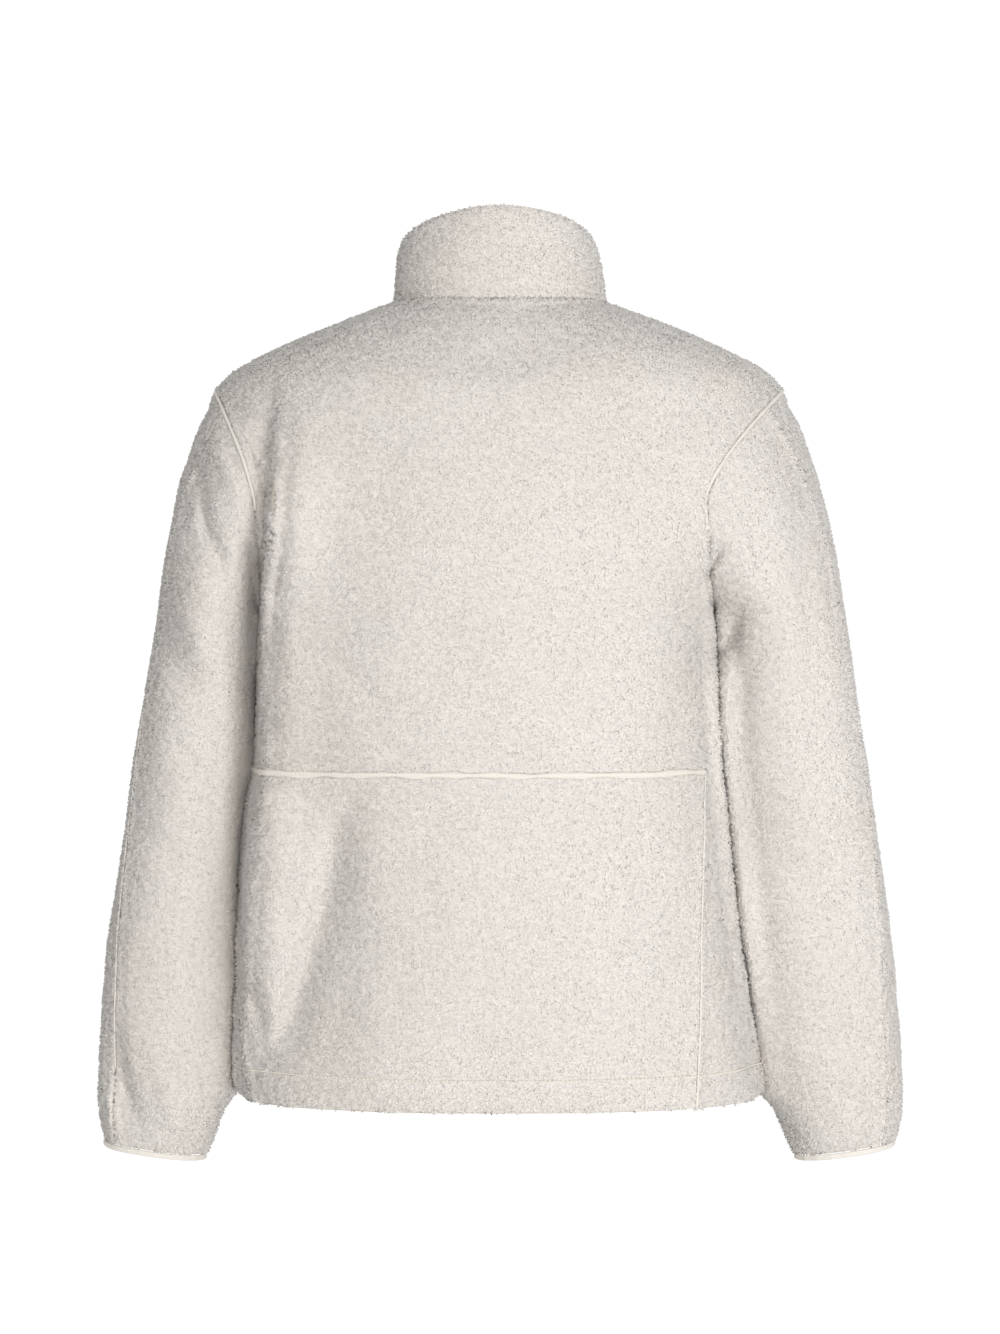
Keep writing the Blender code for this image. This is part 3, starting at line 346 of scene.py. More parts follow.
def smooth_path(points, normals, step, closed=False):
    """Runs a smooth line through ordered points and reads it off at even steps."""
    if closed:
        points, normals = (np.concatenate([each, each[:1]]) for each in (points, normals))
    length = np.concatenate([[0], np.cumsum(np.linalg.norm(np.diff(points, axis=0), axis=1))])
    keep = np.concatenate([[True], np.diff(length) > 0.2 * MM])
    points, normals, length = points[keep], normals[keep], length[keep]
    slopes = np.gradient(points, length, axis=0)
    at = np.linspace(0, length[-1], max(2, round(length[-1] / step)) + 1)
    i = np.clip(np.searchsorted(length, at, side="right") - 1, 0, len(length) - 2)
    span = (length[i + 1] - length[i])[:, None]
    t = (at - length[i])[:, None] / span
    line = ((2 * t**3 - 3 * t**2 + 1) * points[i] + (t**3 - 2 * t**2 + t) * span * slopes[i]
            + (3 * t**2 - 2 * t**3) * points[i + 1] + (t**3 - t**2) * span * slopes[i + 1])
    facing = (1 - t) * normals[i] + t * normals[i + 1]
    return line, facing / np.linalg.norm(facing, axis=1, keepdims=True)


def seam(pairs, order, keep=None, closed=False):
    """The seam between pairs of panels, sorted by order and cut down to what keep lets through."""
    found = [seam_pairs(*pair) for pair in pairs]
    points, normals = (np.concatenate(column) for column in zip(*found))
    if keep is not None:
        wanted = keep(points)
        points, normals = points[wanted], normals[wanted]
    rank = np.argsort(order(points), kind="stable")
    return smooth_path(points[rank], normals[rank], SEAM_STEP, closed)


# %% The seams of the jacket
def round_body(points):
    return np.arctan2(points[:, 1], points[:, 0])


def from_front(points):
    """Sorts points round the body, starting and ending at the zip."""
    return np.mod(round_body(points) + math.pi / 2, 2 * math.pi)


def up(points):
    return points[:, 2]


def beyond_middle(points, sleeve):
    """How much further out from the body a point is than the middle of its sleeve."""
    return np.abs(points[:, 0]) - np.abs(middle_of(points, sleeve)[:, 0])


def round_armhole(points):
    return np.arctan2(points[:, 1], up(points) - ARMHOLE_HEIGHT)


ARMHOLE_HEIGHT, ARMPIT_HEIGHT, SHOULDER_HEIGHT = -0.168, -0.250, -0.085
seams = {"waist": seam([("back_upper", "back_lower")], round_body)}
for side, out in (("left", 1), ("right", -1)):
    front, top, under = f"front_{side}", f"sleeve_{side}_top", f"sleeve_{side}_under"
    seams["side_" + side] = seam([("back_lower", front), ("back_upper", front)], up,
                                 lambda points: up(points) < ARMPIT_HEIGHT)
    seams["shoulder_" + side] = seam([("back_upper", front)], lambda points: np.abs(points[:, 0]),
                                     lambda points: up(points) > SHOULDER_HEIGHT)
    across = [(panel, part) for panel in ("back_upper", front) for part in (top, under)]
    seams["armhole_" + side] = seam(across, round_armhole, closed=True)
    seams["elbow_" + side] = seam([(top, under)], up, lambda points: beyond_middle(points, top) > 0)
    seams["underarm_" + side] = seam([(top, under)], up, lambda points: beyond_middle(points, top) < 0)
seams["collar"] = seam([("collar", panel) for panel in ("front_left", "back_upper", "front_right")],
                       from_front)
for name, (line, _) in seams.items():
    run = np.linalg.norm(np.diff(line, axis=0), axis=1)
    print("seam", name, "length", round(run.sum(), 3), "longest step", round(run.max() / MM, 1), "mm")


# %% [markdown]
# ## The cloth
# A shell of each panel is made from its solid: the triangles are joined into quads, the turned
# edges are marked, and two levels of subdivision round the whole. The outer skin then sinks by the
# depth of the pile, so that the tips of the tufts come out where the solid's surface is. It sinks
# less beside a seam, where the solid already dips.

# %% Round shells
PILE_DEPTH = 2.6 * MM
SEAM_DIP = 9 * MM                                  # how far from a seam the solid's dip reaches
RIM_ANGLE, RIM_CREASE = math.radians(50), 0.7      # where a rim turns, and how firmly it is kept


def blend(low, high, value):
    t = np.clip((value - low) / (high - low), 0, 1)
    return t * t * (3 - 2 * t)


def distance_to(tree, points):
    return np.array([tree.find(point)[2] for point in points])


def round_shell(piece):
    with edit_mode(piece):
        bpy.ops.mesh.tris_convert_to_quads(face_threshold=math.radians(30), shape_threshold=math.radians(60))
        bpy.ops.mesh.select_all(action="DESELECT")
        bpy.ops.mesh.edges_select_sharp(sharpness=RIM_ANGLE)
        bpy.ops.transform.edge_crease(value=RIM_CREASE)
    rounding = piece.modifiers.new("rounding", "SUBSURF")
    rounding.levels = rounding.render_levels = 2
    bpy.ops.object.modifier_apply(modifier="rounding")
    bpy.ops.object.shade_smooth()


for cloth in cloths.values():
    round_shell(cloth)
seam_finder = finder_of(np.concatenate([line for line, _ in seams.values()]))
print("shell triangles", sum(sum(len(face.vertices) - 2 for face in cloth.data.polygons)
                             for cloth in cloths.values()))

# %% [markdown]
# ## Creases
# The large folds are in the solids. The small ones are pressed in here, each as a soft
# trough or ridge along a path. For the back they are read off the photograph, so their paths are
# written in its pixels, and a point of the cloth is compared with them at the pixel where the
# camera sees it. The front and the insides of the sleeves have soft creases of their own, where a
# worn jacket has them: below the armpits, across the elbows, above the hem and beside the zip.

# %% The table of creases
# Each row has the widths in mm to the left and right of a path that runs down, the depth in mm,
# and the pixels of the path, x and y in turn.
BACK_CREASES = (
    # the left sleeve in the picture: the armhole fold with its sharp right edge, and the valley below
    ((12, 5), 9, (269, 420, 268, 450, 267, 487, 262, 530, 258, 580, 256, 610)),
    ((3, 9), -16, (277, 436, 276, 480, 272, 530, 268, 580, 267, 640, 266, 700, 265, 760, 265, 798)),
    ((4, 40), -20, (279, 420, 278, 480, 273, 540, 269, 600, 267, 700, 266, 780, 261, 830)),
    ((6, 13), 18, (252, 545, 250, 640, 248, 700, 246, 760, 241, 800, 240, 860, 241, 940, 243, 985)),
    ((9, 8), -3, (234, 560, 231, 640, 229, 720, 226, 800, 224, 880)),
    ((10, 9), -2.4, (210, 415, 222, 455, 238, 494, 246, 520)),
    ((5, 6), 7.5, (199, 458, 203, 492, 207, 528, 226, 568)),
    ((12, 10), -2.6, (200, 570, 216, 610, 226, 660, 226, 720)),
    ((8, 6), 4.5, (244, 542, 256, 560, 266, 576)),
    ((16, 20), 5.5, (154, 588, 164, 636, 190, 694)),
    ((12, 14), -2.4, (180, 590, 200, 640, 214, 690)),
    ((10, 10), 2.4, (172, 738, 196, 768, 226, 786)),
    ((10, 10), 2.2, (148, 836, 176, 862, 208, 872)),
    ((22, 9), 8.0, (112, 1020, 122, 1076, 138, 1128)),
    ((8, 12), -2.6, (154, 1058, 172, 1110, 186, 1150)),
    ((9, 8), 2.6, (192, 950, 212, 1000, 222, 1050)),
    # the drape at the lower left
    ((8, 24), 13, (336, 822, 326, 876, 314, 930, 299, 976, 284, 1024, 274, 1056)),
    ((3, 8), -14, (257, 792, 253, 830, 250, 880, 248, 930, 247, 980, 244, 1030, 240, 1066)),
    ((4, 35), -18, (264, 750, 257, 800, 251, 860, 249, 930, 247, 1000, 243, 1060)),
    ((7, 7), 4.5, (246, 972, 252, 990, 263, 1014, 266, 1036, 264, 1064)),
    ((22, 30), 3.0, (346, 890, 342, 970, 332, 1056)),
    # below the waist seam and above the hem
    ((11, 11), 1.3, (430, 800, 424, 868, 436, 940)),
    ((12, 12), 1.2, (560, 806, 572, 880, 566, 950)),
    ((10, 10), 1.4, (640, 812, 634, 880, 646, 936)),
    ((9, 9), 1.0, (420, 1060, 470, 1054, 516, 1062)),
    ((9, 9), 1.0, (600, 1062, 646, 1054, 676, 1060)),
    # the back above the waist
    ((15, 15), 1.2, (330, 640, 368, 700, 392, 752)),
    ((13, 13), 1.0, (640, 610, 620, 680, 628, 744)),
    ((16, 16), 1.1, (440, 352, 500, 362, 566, 350)),
    # the right of the picture: beside the body, the hook, the diagonal, the sleeve
    ((10, 14), -15, (713, 570, 720, 650, 720, 700, 726, 760, 735, 860, 747, 960, 752, 1020)),
    ((4, 3), 10.0, (724, 548, 712, 570, 706, 586)),
    ((8, 4), 10.0, (744, 612, 730, 642, 712, 668)),
    ((5, 12), 6.0, (728, 738, 733, 800, 738, 876)),
    ((10, 8), -3.0, (756, 630, 738, 662, 728, 690)),
    ((12, 12), 3.0, (795, 470, 806, 580, 812, 690, 818, 800)),
    ((9, 9), 2.4, (770, 862, 806, 872, 840, 860)),
    ((10, 10), 2.4, (786, 1026, 822, 1042, 858, 1036)),
    ((10, 10), 1.6, (840, 1084, 866, 1110, 884, 1124)),
)
FRONT_CREASES = (   # which the picture does not show
    ((10, 10), 3.0, (716, 520, 690, 566, 672, 622)),
    ((9, 9), 2.6, (284, 520, 306, 560, 320, 612)),
    ((11, 11), 1.6, (640, 760, 600, 786, 562, 790)),
    ((11, 11), 1.7, (352, 770, 396, 800, 436, 802)),
    ((10, 10), 1.6, (530, 880, 556, 920, 560, 966)),
    ((10, 10), 1.5, (470, 620, 446, 668, 450, 712)),
    ((10, 10), 1.4, (372, 980, 398, 1024, 432, 1040)),
    ((10, 10), 1.4, (650, 940, 622, 1000, 592, 1030)),
    ((12, 12), 2.8, (176, 700, 206, 726, 226, 730)),
    ((10, 10), 2.2, (150, 800, 180, 830, 214, 836)),
    ((11, 11), 2.2, (132, 960, 160, 990, 196, 996)),
    ((11, 11), 2.6, (816, 700, 782, 730, 752, 734)),
    ((10, 10), 2.2, (846, 830, 812, 852, 772, 856)),
    ((11, 11), 2.1, (872, 990, 840, 1014, 800, 1018)),
)
print("creases", len(BACK_CREASES) + len(FRONT_CREASES))


# %% The depth of the creases
FALLOFF = 1.6                                      # how quickly a crease ends at its sides
CREASE_END, CUFF_TOP = -0.704, -0.672              # the bindings hold the cuffs in shape


def seen_at(points):
    """The photograph's pixel where the camera sees each point."""
    nearer = 1 - points[:, 1] / VIEW_DISTANCE
    return np.stack([MIDDLE_PIXEL[0] - points[:, 0] / (PIXEL * nearer),
                     MIDDLE_PIXEL[1] - (points[:, 2] - VIEW_HEIGHT) / (PIXEL * nearer)], axis=1)


def beside_path(pixels, path):
    """Signed distance to a path in pixels, more than 0 on its left, and the share of it passed."""
    path = np.array(path, float).reshape(-1, 2)
    steps = np.diff(path, axis=0)
    run = np.concatenate([[0], np.cumsum(np.linalg.norm(steps, axis=1))])
    best, where = np.full(len(pixels), 1e9), np.zeros(len(pixels))
    for i, step in enumerate(steps):
        off = pixels - path[i]
        t = np.clip(off @ step / (step @ step), 0, 1)
        distance = np.linalg.norm(off - t[:, None] * step, axis=1)
        side = np.where(step[0] * off[:, 1] - step[1] * off[:, 0] > 0, 1.0, -1.0)
        nearer = distance < np.abs(best)
        best[nearer] = (distance * side)[nearer]
        where[nearer] = (run[i] + t * np.linalg.norm(step))[nearer]
    return best, where / run[-1]


def crease_depth(points):
    """How far the creases push each point away from whoever faces that side, along Y, in metres."""
    pixels, pushed = seen_at(points), np.zeros(len(points))
    behind = blend(-25 * MM, 5 * MM, points[:, 1])             # 1 on the back, 0 on the front
    for creases, share in ((BACK_CREASES, -behind), (FRONT_CREASES, 1 - behind)):
        for (left, right), depth, path in creases:
            distance, along = beside_path(pixels, path)
            across = np.abs(distance) * PIXEL / (np.where(distance > 0, left, right) * MM)
            ends = 0.1 + 0.9 * np.sin(np.pi * np.clip(along, 0.02, 0.98)) ** 0.5
            pushed += depth * MM * np.exp(-across ** 2 * FALLOFF) * ends * share
    return pushed * blend(CREASE_END, CUFF_TOP, points[:, 2])


waist_push = crease_depth(seams["waist"][0]) / MM
print("waist seam pushed from", waist_push.min().round(1), "to", waist_push.max().round(1), "mm")


# %% Pressing the cloth into shape
def waves(points, size, height, seed):
    return np.array([noise.noise(Vector(point) / size + Vector((seed, 0, 0))) for point in points]) * height


SWELLS = ((0.100, 2.4 * MM, 3), (0.034, 1.2 * MM, 7))   # size across, height and seed
TOUCHING = 14 * MM                                 # a sleeve this close to the body lies against it
OVERLAP = 1 * MM


def outward_from(points, panel):
    """Which way is out at each point, seen from the middle of its tube."""
    outward = points - middle_of(points, panel)
    return outward / np.linalg.norm(outward, axis=1, keepdims=True)


def surface_of(panels):
    points, faces = [], []
    for panel in panels:
        mesh = cloths[panel].data
        faces += [[len(points) + index for index in face.vertices] for face in mesh.polygons]
        points += [vertex.co.copy() for vertex in mesh.vertices]
    return BVHTree.FromPolygons(points, faces)


body_surface, sleeve_surface = surface_of(BODY_PANELS), surface_of(SLEEVE_PANELS)
armhole_finder = finder_of(np.concatenate([seams["armhole_left"][0], seams["armhole_right"][0]]))


def toward_neighbour(panel, points):
    """Where sleeve and body hang side by side, each moves by half the gap, so that they touch."""
    if panel == "collar":
        return np.zeros(points.shape)
    outward = outward_from(points, panel)
    rival = sleeve_surface if panel in BODY_PANELS else body_surface
    found = [rival.find_nearest(Vector(point)) for point in points]
    across = np.array([place - Vector(point) for (place, _, _, _), point in zip(found, points)])
    gap = np.maximum(np.linalg.norm(across, axis=1), 1e-6)
    facing = np.sum(across * outward, axis=1) / gap
    share = (blend(0.1, 0.5, facing) * blend(TOUCHING * 2, TOUCHING, gap)
             * blend(3 * MM, 15 * MM, distance_to(armhole_finder, points)))
    return across * ((0.5 + OVERLAP / gap) * share)[:, None]


def mark(mesh, name, values):
    """Keeps a number with each point of a mesh, for materials and nodes to read by its name."""
    mesh.attributes.new(name, "FLOAT", "POINT").data.foreach_set("value", values)


def press(panel, piece):
    """Sinks the outer skin, presses both skins alike, and marks where pile grows."""
    points, normals = coordinates(piece.data), coordinates(piece.data, "normal")
    outward = outward_from(points, panel)
    facing_out = np.sum(normals * outward, axis=1)
    beside_seam = distance_to(seam_finder, points)
    sunk = PILE_DEPTH * blend(-0.1, 0.5, facing_out) * blend(1 * MM, SEAM_DIP, beside_seam)
    swell = -sum(waves(points, *kind) for kind in SWELLS) * blend(2 * MM, 16 * MM, beside_seam)
    moved = points + outward * (swell - sunk)[:, None] + toward_neighbour(panel, points)
    moved[:, 1] += crease_depth(moved)
    mark(piece.data, "pile", blend(0.05, 0.3, facing_out))
    return moved


pressed = {panel: press(panel, cloth) for panel, cloth in cloths.items()}
for panel, moved in pressed.items():
    cloths[panel].data.vertices.foreach_set("co", moved.ravel())
    cloths[panel].data.materials.append(ground_material)
    cloths[panel].data.update()
    print(panel, "points", len(moved), "low", moved.min(axis=0).round(3), "high", moved.max(axis=0).round(3))


# %% Moving the seams with the cloth
SEAM_OWNER = {"waist": "back_upper", "side_left": "back_upper", "side_right": "back_upper",
              "underarm_left": "sleeve_left_under", "underarm_right": "sleeve_right_under"}
for name, (line, _) in seams.items():
    if name in SEAM_OWNER:
        line += toward_neighbour(SEAM_OWNER[name], line)
    line[:, 1] += crease_depth(line)
print("seams moved with their panels", list(SEAM_OWNER))

# %% [markdown]
# ## The pile
# One lock of pile is a few hundred fibres that curl together. It is modelled once, as a small
# three-sided bud with a bent tip, and Geometry Nodes sets it all over the outer skin. The locks
# don't stand evenly: washing and wear gather them into clumps, which the Voronoi texture gives.
# Each lock leans to the middle of its clump, a little down as the pile is brushed, and away from
# the zip. The clumps of the real cloth are 4 to 7 mm across.

# %% One lock of pile
def lock_of_pile(width, rise, bend):
    """A small three-sided lock whose tip hangs over to one side."""
    select_only()
    bpy.ops.mesh.primitive_circle_add(vertices=3, radius=width / 2, fill_type="NOTHING")
    piece = bpy.context.object
    with edit_mode(piece):
        bpy.ops.mesh.extrude_region_move(TRANSFORM_OT_translate={"value": (bend, 0, rise)})
        bpy.ops.mesh.merge(type="CENTER")
        bpy.ops.mesh.select_all(action="SELECT")
        bpy.ops.mesh.normals_make_consistent(inside=False)
    bpy.ops.object.shade_smooth()
    mark(piece.data, "tip", coordinates(piece.data)[:, 2] / rise)
    return piece


LOCK_WIDTH, LOCK_RISE, LOCK_BEND = 3.7 * MM, 3.0 * MM, 1.2 * MM
lock = lock_of_pile(LOCK_WIDTH, LOCK_RISE, LOCK_BEND)
tell([lock])


# %% Lines that stay free of pile
def line_object(name, lines):
    """Seam lines as one mesh of edges, for measuring distances to them."""
    points = [point for line in lines for point in line]
    edges, start = [], 0
    for line in lines:
        edges += [(start + i, start + i + 1) for i in range(len(line) - 1)]
        start += len(line)
    mesh = bpy.data.meshes.new(name)
    mesh.from_pydata(points, edges, [])
    return new_object(name, mesh)


def cut(line, keep):
    """The longest part of a line that keep lets through, as its points and normals."""
    points, facing = line
    wanted = keep(points)
    if np.linalg.norm(points[0] - points[-1]) < 10 * MM and not wanted.all():
        start = np.argmin(wanted)                 # a ring is opened where it isn't wanted
        points, facing, wanted = (np.roll(each, -start, axis=0) for each in (points, facing, wanted))
    return points[wanted], facing[wanted]


WAIST_HEIGHT, HEM_LINE = -0.391, -0.6335
LEFT_FOLD, RIGHT_FOLD = -0.178, -0.168             # below these heights a fold hides the armhole seam
ELBOW_TOP, ELBOW_END = -0.335, -0.64
SIDE_SEAM = cut(seams["side_right"], lambda points: up(points) < WAIST_HEIGHT)
ARMHOLES = (cut(seams["armhole_left"], lambda points: up(points) > LEFT_FOLD),
            cut(seams["armhole_right"], lambda points: up(points) > RIGHT_FOLD))
ELBOW = cut(seams["elbow_left"], lambda points: (up(points) < ELBOW_TOP) & (up(points) > ELBOW_END))
print("side seam", len(SIDE_SEAM[0]), "elbow seam", len(ELBOW[0]), "points")


# %% The hem line
def level_line(height, panels):
    """The line round the outside of the pressed cloth at one height."""
    found = []
    for panel in panels:
        mesh = cloths[panel].data
        points, normals = coordinates(mesh), coordinates(mesh, "normal")
        ends = np.empty(len(mesh.edges) * 2, int)
        mesh.edges.foreach_get("vertices", ends)
        a, b = ends.reshape(-1, 2).T
        crossing = (points[a, 2] - height) * (points[b, 2] - height) < 0
        a, b = a[crossing], b[crossing]
        t = ((height - points[a, 2]) / (points[b, 2] - points[a, 2]))[:, None]
        found.append([each[a] * (1 - t) + each[b] * t for each in (points, normals)])
    points, normals = (np.concatenate(column) for column in zip(*found))
    out = faces_out(points, normals, panels[0])
    points, normals = points[out], normals[out]
    rank = np.argsort(from_front(points))
    return smooth_path(points[rank], normals[rank], SEAM_STEP)


HEM = level_line(HEM_LINE, ("front_left", "back_lower", "front_right"))
print("hem line", round(len(HEM[0]) * SEAM_STEP, 3), "m")
band_lines = line_object("band_lines", [seams["waist"][0]])
fine_lines = line_object("fine_lines", [line for line, _ in (SIDE_SEAM, ELBOW, HEM, *ARMHOLES)])


# %% Where the locks stand
LOCK_SPACING = 1.6 * MM
CROWD = 800000.0                                   # locks tried per square metre before they are thinned
BAND_CLEAR, FINE_CLEAR = 2.8 * MM, 1.5 * MM
MATH, VECTOR_MATH, RANDOM = "ShaderNodeMath", "ShaderNodeVectorMath", "FunctionNodeRandomValue"


def lock_places(add, cloth, seed):
    """Points spread over the cloth where pile grows, clear of the seams, and which way each faces."""
    grows = add("GeometryNodeInputNamedAttribute", {"Name": "pile"}, data_type="FLOAT")[0]
    spots = add("GeometryNodeDistributePointsOnFaces",
                {"Mesh": cloth, "Distance Min": LOCK_SPACING, "Density Max": CROWD,
                 "Density Factor": grows, "Seed": seed}, distribute_method="POISSON")
    kept = spots["Points"]
    for lines, reach in ((band_lines, BAND_CLEAR), (fine_lines, FINE_CLEAR)):
        shape = add("GeometryNodeObjectInfo", {"Object": lines})["Geometry"]
        nearest = add("GeometryNodeProximity", (shape,), target_element="EDGES")
        near = add(MATH, (nearest["Distance"], reach), operation="LESS_THAN")[0]
        kept = add("GeometryNodeDeleteGeometry", {"Geometry": kept, "Selection": near}, domain="POINT")[0]
    return kept, spots["Normal"]


print("locks to a square centimetre, at most", round((10 * MM / LOCK_SPACING) ** 2))


# %% Which way the locks lean
CLUMP = 7 * MM
GATHER, STRAY, DOWN = 1.1, 0.2, 0.3                # lean to the middle of its clump, any way, and down
BY_ZIP, ZIP_NEAR, ZIP_FAR = 1.6, 6 * MM, 18 * MM   # lean away from the zip, between these distances


def lock_directions(add, place, normal, inward, seed):
    """The way each lock points: outwards, and pushed aside in four ways."""
    stray = add(RANDOM, {0: (-STRAY,) * 3, 1: (STRAY,) * 3, "Seed": seed}, data_type="FLOAT_VECTOR")[0]
    x, y, _ = add("ShaderNodeSeparateXYZ", (place,))
    from_zip = add(MATH, (x,), operation="ABSOLUTE")[0]
    away = add("ShaderNodeMapRange", (from_zip, ZIP_NEAR, ZIP_FAR, BY_ZIP, 0.0))[0]
    side = add(MATH, (x,), operation="SIGN")[0]
    in_front = add(MATH, (y, 0.0), operation="LESS_THAN")[0]
    for factor in (side, in_front):
        away = add(MATH, (away, factor), operation="MULTIPLY")[0]
    sideways = add("ShaderNodeCombineXYZ", (away,))[0]
    direction = inward
    for push in (stray, (0, 0, -DOWN), sideways, normal):
        direction = add(VECTOR_MATH, (direction, push), operation="ADD")[0]
    return direction


print("a clump spans", round(CLUMP / LOCK_SPACING, 1), "locks")


# %% Shading a clump as one
CLUMP_ROUNDNESS = 0.12                             # how domed a clump looks
SOFTNESS = 0.98                                    # how far a lock takes the shading of its clump


def softened(add, locks):
    """Turns each lock's own shading normal most of the way to that of its clump."""
    of_clump = add("GeometryNodeInputNamedAttribute", {"Name": "clump"}, data_type="FLOAT_VECTOR")[0]
    own = add("GeometryNodeInputNormal")[0]
    parts = [add(VECTOR_MATH, {0: facing, "Scale": share}, operation="SCALE")[0]
             for facing, share in ((own, 1 - SOFTNESS), (of_clump, SOFTNESS))]
    both = add(VECTOR_MATH, parts, operation="ADD")[0]
    facing = add(VECTOR_MATH, (both,), operation="NORMALIZE")[0]
    return add("GeometryNodeSetMeshNormal", {"Mesh": locks, "Custom Normal": facing},
               mode="FREE", domain="POINT")[0]


print("a lock keeps", round(1 - SOFTNESS, 2), "of its own shading")


# %% The nodes that set the pile
SIZE_IN_CLUMP, CLUMP_EDGE = (1.06, 0.9), 0.8       # a lock's size at the middle of a clump and at its edge
SIZES, TONES, TURNS = (0.9, 1.1), (0.985, 1.015), (0.0, 2 * math.pi)
STORE = "GeometryNodeStoreNamedAttribute"


def pile_tree(seed):
    tree = bpy.data.node_groups.new("pile", "GeometryNodeTree")
    for way in ("INPUT", "OUTPUT"):
        tree.interface.new_socket("Geometry", in_out=way, socket_type="NodeSocketGeometry")
    add = partial(add_node, tree)
    cloth = add("NodeGroupInput")[0]
    kept, normal = lock_places(add, cloth, seed)
    place = add("GeometryNodeInputPosition")[0]
    clumps = add("ShaderNodeTexVoronoi", {"Vector": place, "Scale": 1 / CLUMP})
    to_middle = add(VECTOR_MATH, (clumps["Position"], place), operation="SUBTRACT")[0]
    inward = add(VECTOR_MATH, {0: to_middle, "Scale": GATHER / CLUMP}, operation="SCALE")[0]
    dome = add(VECTOR_MATH, {0: inward, "Scale": CLUMP_ROUNDNESS}, operation="SCALE")[0]
    domed = add(VECTOR_MATH, (normal, dome), operation="SUBTRACT")[0]
    kept = add(STORE, {"Geometry": kept, "Name": "clump", "Value": domed},
               data_type="FLOAT_VECTOR", domain="POINT")[0]
    direction = lock_directions(add, place, normal, inward, seed)
    aligned = add("FunctionNodeAlignRotationToVector", {"Vector": direction}, axis="Z")[0]
    turn, own_size, tone = (add(RANDOM, {2: low, 3: high, "Seed": seed + draw}, data_type="FLOAT")[1]
                            for draw, (low, high) in enumerate((TURNS, SIZES, TONES), 1))
    spin = add("FunctionNodeAxisAngleToRotation", {"Axis": (0, 0, 1), "Angle": turn})[0]
    rotation = add("FunctionNodeRotateRotation", (aligned, spin), rotation_space="LOCAL")[0]
    by_place = add("ShaderNodeMapRange", (clumps["Distance"], 0.0, CLUMP_EDGE, *SIZE_IN_CLUMP))[0]
    size = add(MATH, (by_place, own_size), operation="MULTIPLY")[0]
    template = add("GeometryNodeObjectInfo", {"Object": lock})["Geometry"]
    locks = add("GeometryNodeInstanceOnPoints", {"Points": kept, "Instance": template,
                                                 "Rotation": rotation, "Scale": size})[0]
    toned = add(STORE, {"Geometry": locks, "Name": "tone", "Value": tone},
                data_type="FLOAT", domain="INSTANCE")[0]
    real = add("GeometryNodeRealizeInstances", (toned,))[0]
    finished = add("GeometryNodeSetMaterial", {"Geometry": softened(add, real),
                                               "Material": pile_material})[0]
    add("NodeGroupOutput", (finished,))
    return tree


# %% Setting the pile
def set_pile(panel, cloth, seed):
    piece = new_object("pile_" + panel, cloth.data.copy())
    select_only(piece)
    setting = piece.modifiers.new("setting the pile", "NODES")
    setting.node_group = pile_tree(seed)
    bpy.ops.object.modifier_apply(modifier=setting.name)
    return piece


FIRST_SEED, SEEDS_EACH = 11, 5
piles = {panel: set_pile(panel, cloth, FIRST_SEED + SEEDS_EACH * i)
         for i, (panel, cloth) in enumerate(cloths.items())}
tell(piles.values())
for helper in (lock, band_lines, fine_lines):
    bpy.data.objects.remove(helper)


# %% [markdown]
# ## Seams, hem and binding
# On the real jacket a seam shows as a smooth, pale line: the pile is shaved off beside it and a
# narrow tape covers the join. Each tape is a long grid that is moulded along its seam, a little
# crowned, and then given a thickness. Where pile covers a seam, a strip of the ground cloth lies
# just under it and closes the gap between the panels. The thread is one small stitch, modelled
# once and copied along a line into one joined mesh.

# %% Seam tapes
WAVER_SIZE, SWELL_SIZE, SWELL = 35 * MM, 12 * MM, 0.5   # how a tape strays, and how its width varies


def moulded_strip(name, line, width, lift, crown, waver=0.0, thick=0.5 * MM):
    """A tape along a line on the cloth. It has a crown across and may waver in its course."""
    points, facing = line
    rows, columns = len(points), 5
    select_only()
    bpy.ops.mesh.primitive_grid_add(x_subdivisions=rows - 1, y_subdivisions=columns - 1, size=1)
    piece = bpy.context.object
    piece.name = piece.data.name = name
    grid = coordinates(piece.data)
    row = np.rint((grid[:, 0] + 0.5) * (rows - 1)).astype(int)
    across = grid[:, 1] * 2                                         # from -1 to 1
    run = np.gradient(points, axis=0)
    run /= np.linalg.norm(run, axis=1, keepdims=True)
    side = np.cross(facing, run)
    side /= np.linalg.norm(side, axis=1, keepdims=True)
    stray = waves(points, WAVER_SIZE, waver, 0)
    swell = 1 + waves(points, SWELL_SIZE, SWELL if waver else 0.0, 9)
    place = (points[row] + side[row] * (across * width / 2 * swell[row] + stray[row])[:, None]
             + facing[row] * (lift + crown * (1 - across ** 2))[:, None])
    piece.data.vertices.foreach_set("co", place.ravel())
    piece.data.update()
    normals = coordinates(piece.data, "normal")
    if np.sum(normals * facing[row]) < 0:
        with edit_mode(piece):
            bpy.ops.mesh.flip_normals()
    body = piece.modifiers.new("thickness", "SOLIDIFY")
    body.thickness, body.offset = thick, -1
    bpy.ops.object.modifier_apply(modifier="thickness")
    bpy.ops.object.shade_smooth()
    piece.data.materials.append(tape_material)
    return piece


TAPES = {   # the line, then width, lift, crown and waver in mm
    "waist_seam_tape": (seams["waist"], 5.2, 1.5, 0.9, 1.4),
    "side_seam_tape": (SIDE_SEAM, 2.4, 1.3, 0.7, 0.7),
    "armhole_seam_tape_left": (ARMHOLES[0], 2.6, 1.5, 0.8, 0.4),
    "armhole_seam_tape_right": (ARMHOLES[1], 2.6, 1.5, 0.8, 0.4),
    "elbow_seam_tape_left": (ELBOW, 2.2, 1.5, 0.6, 0.5),
}
tapes = [moulded_strip(name, line, *[size * MM for size in sizes]) for name, (line, *sizes) in TAPES.items()]
tell(tapes)

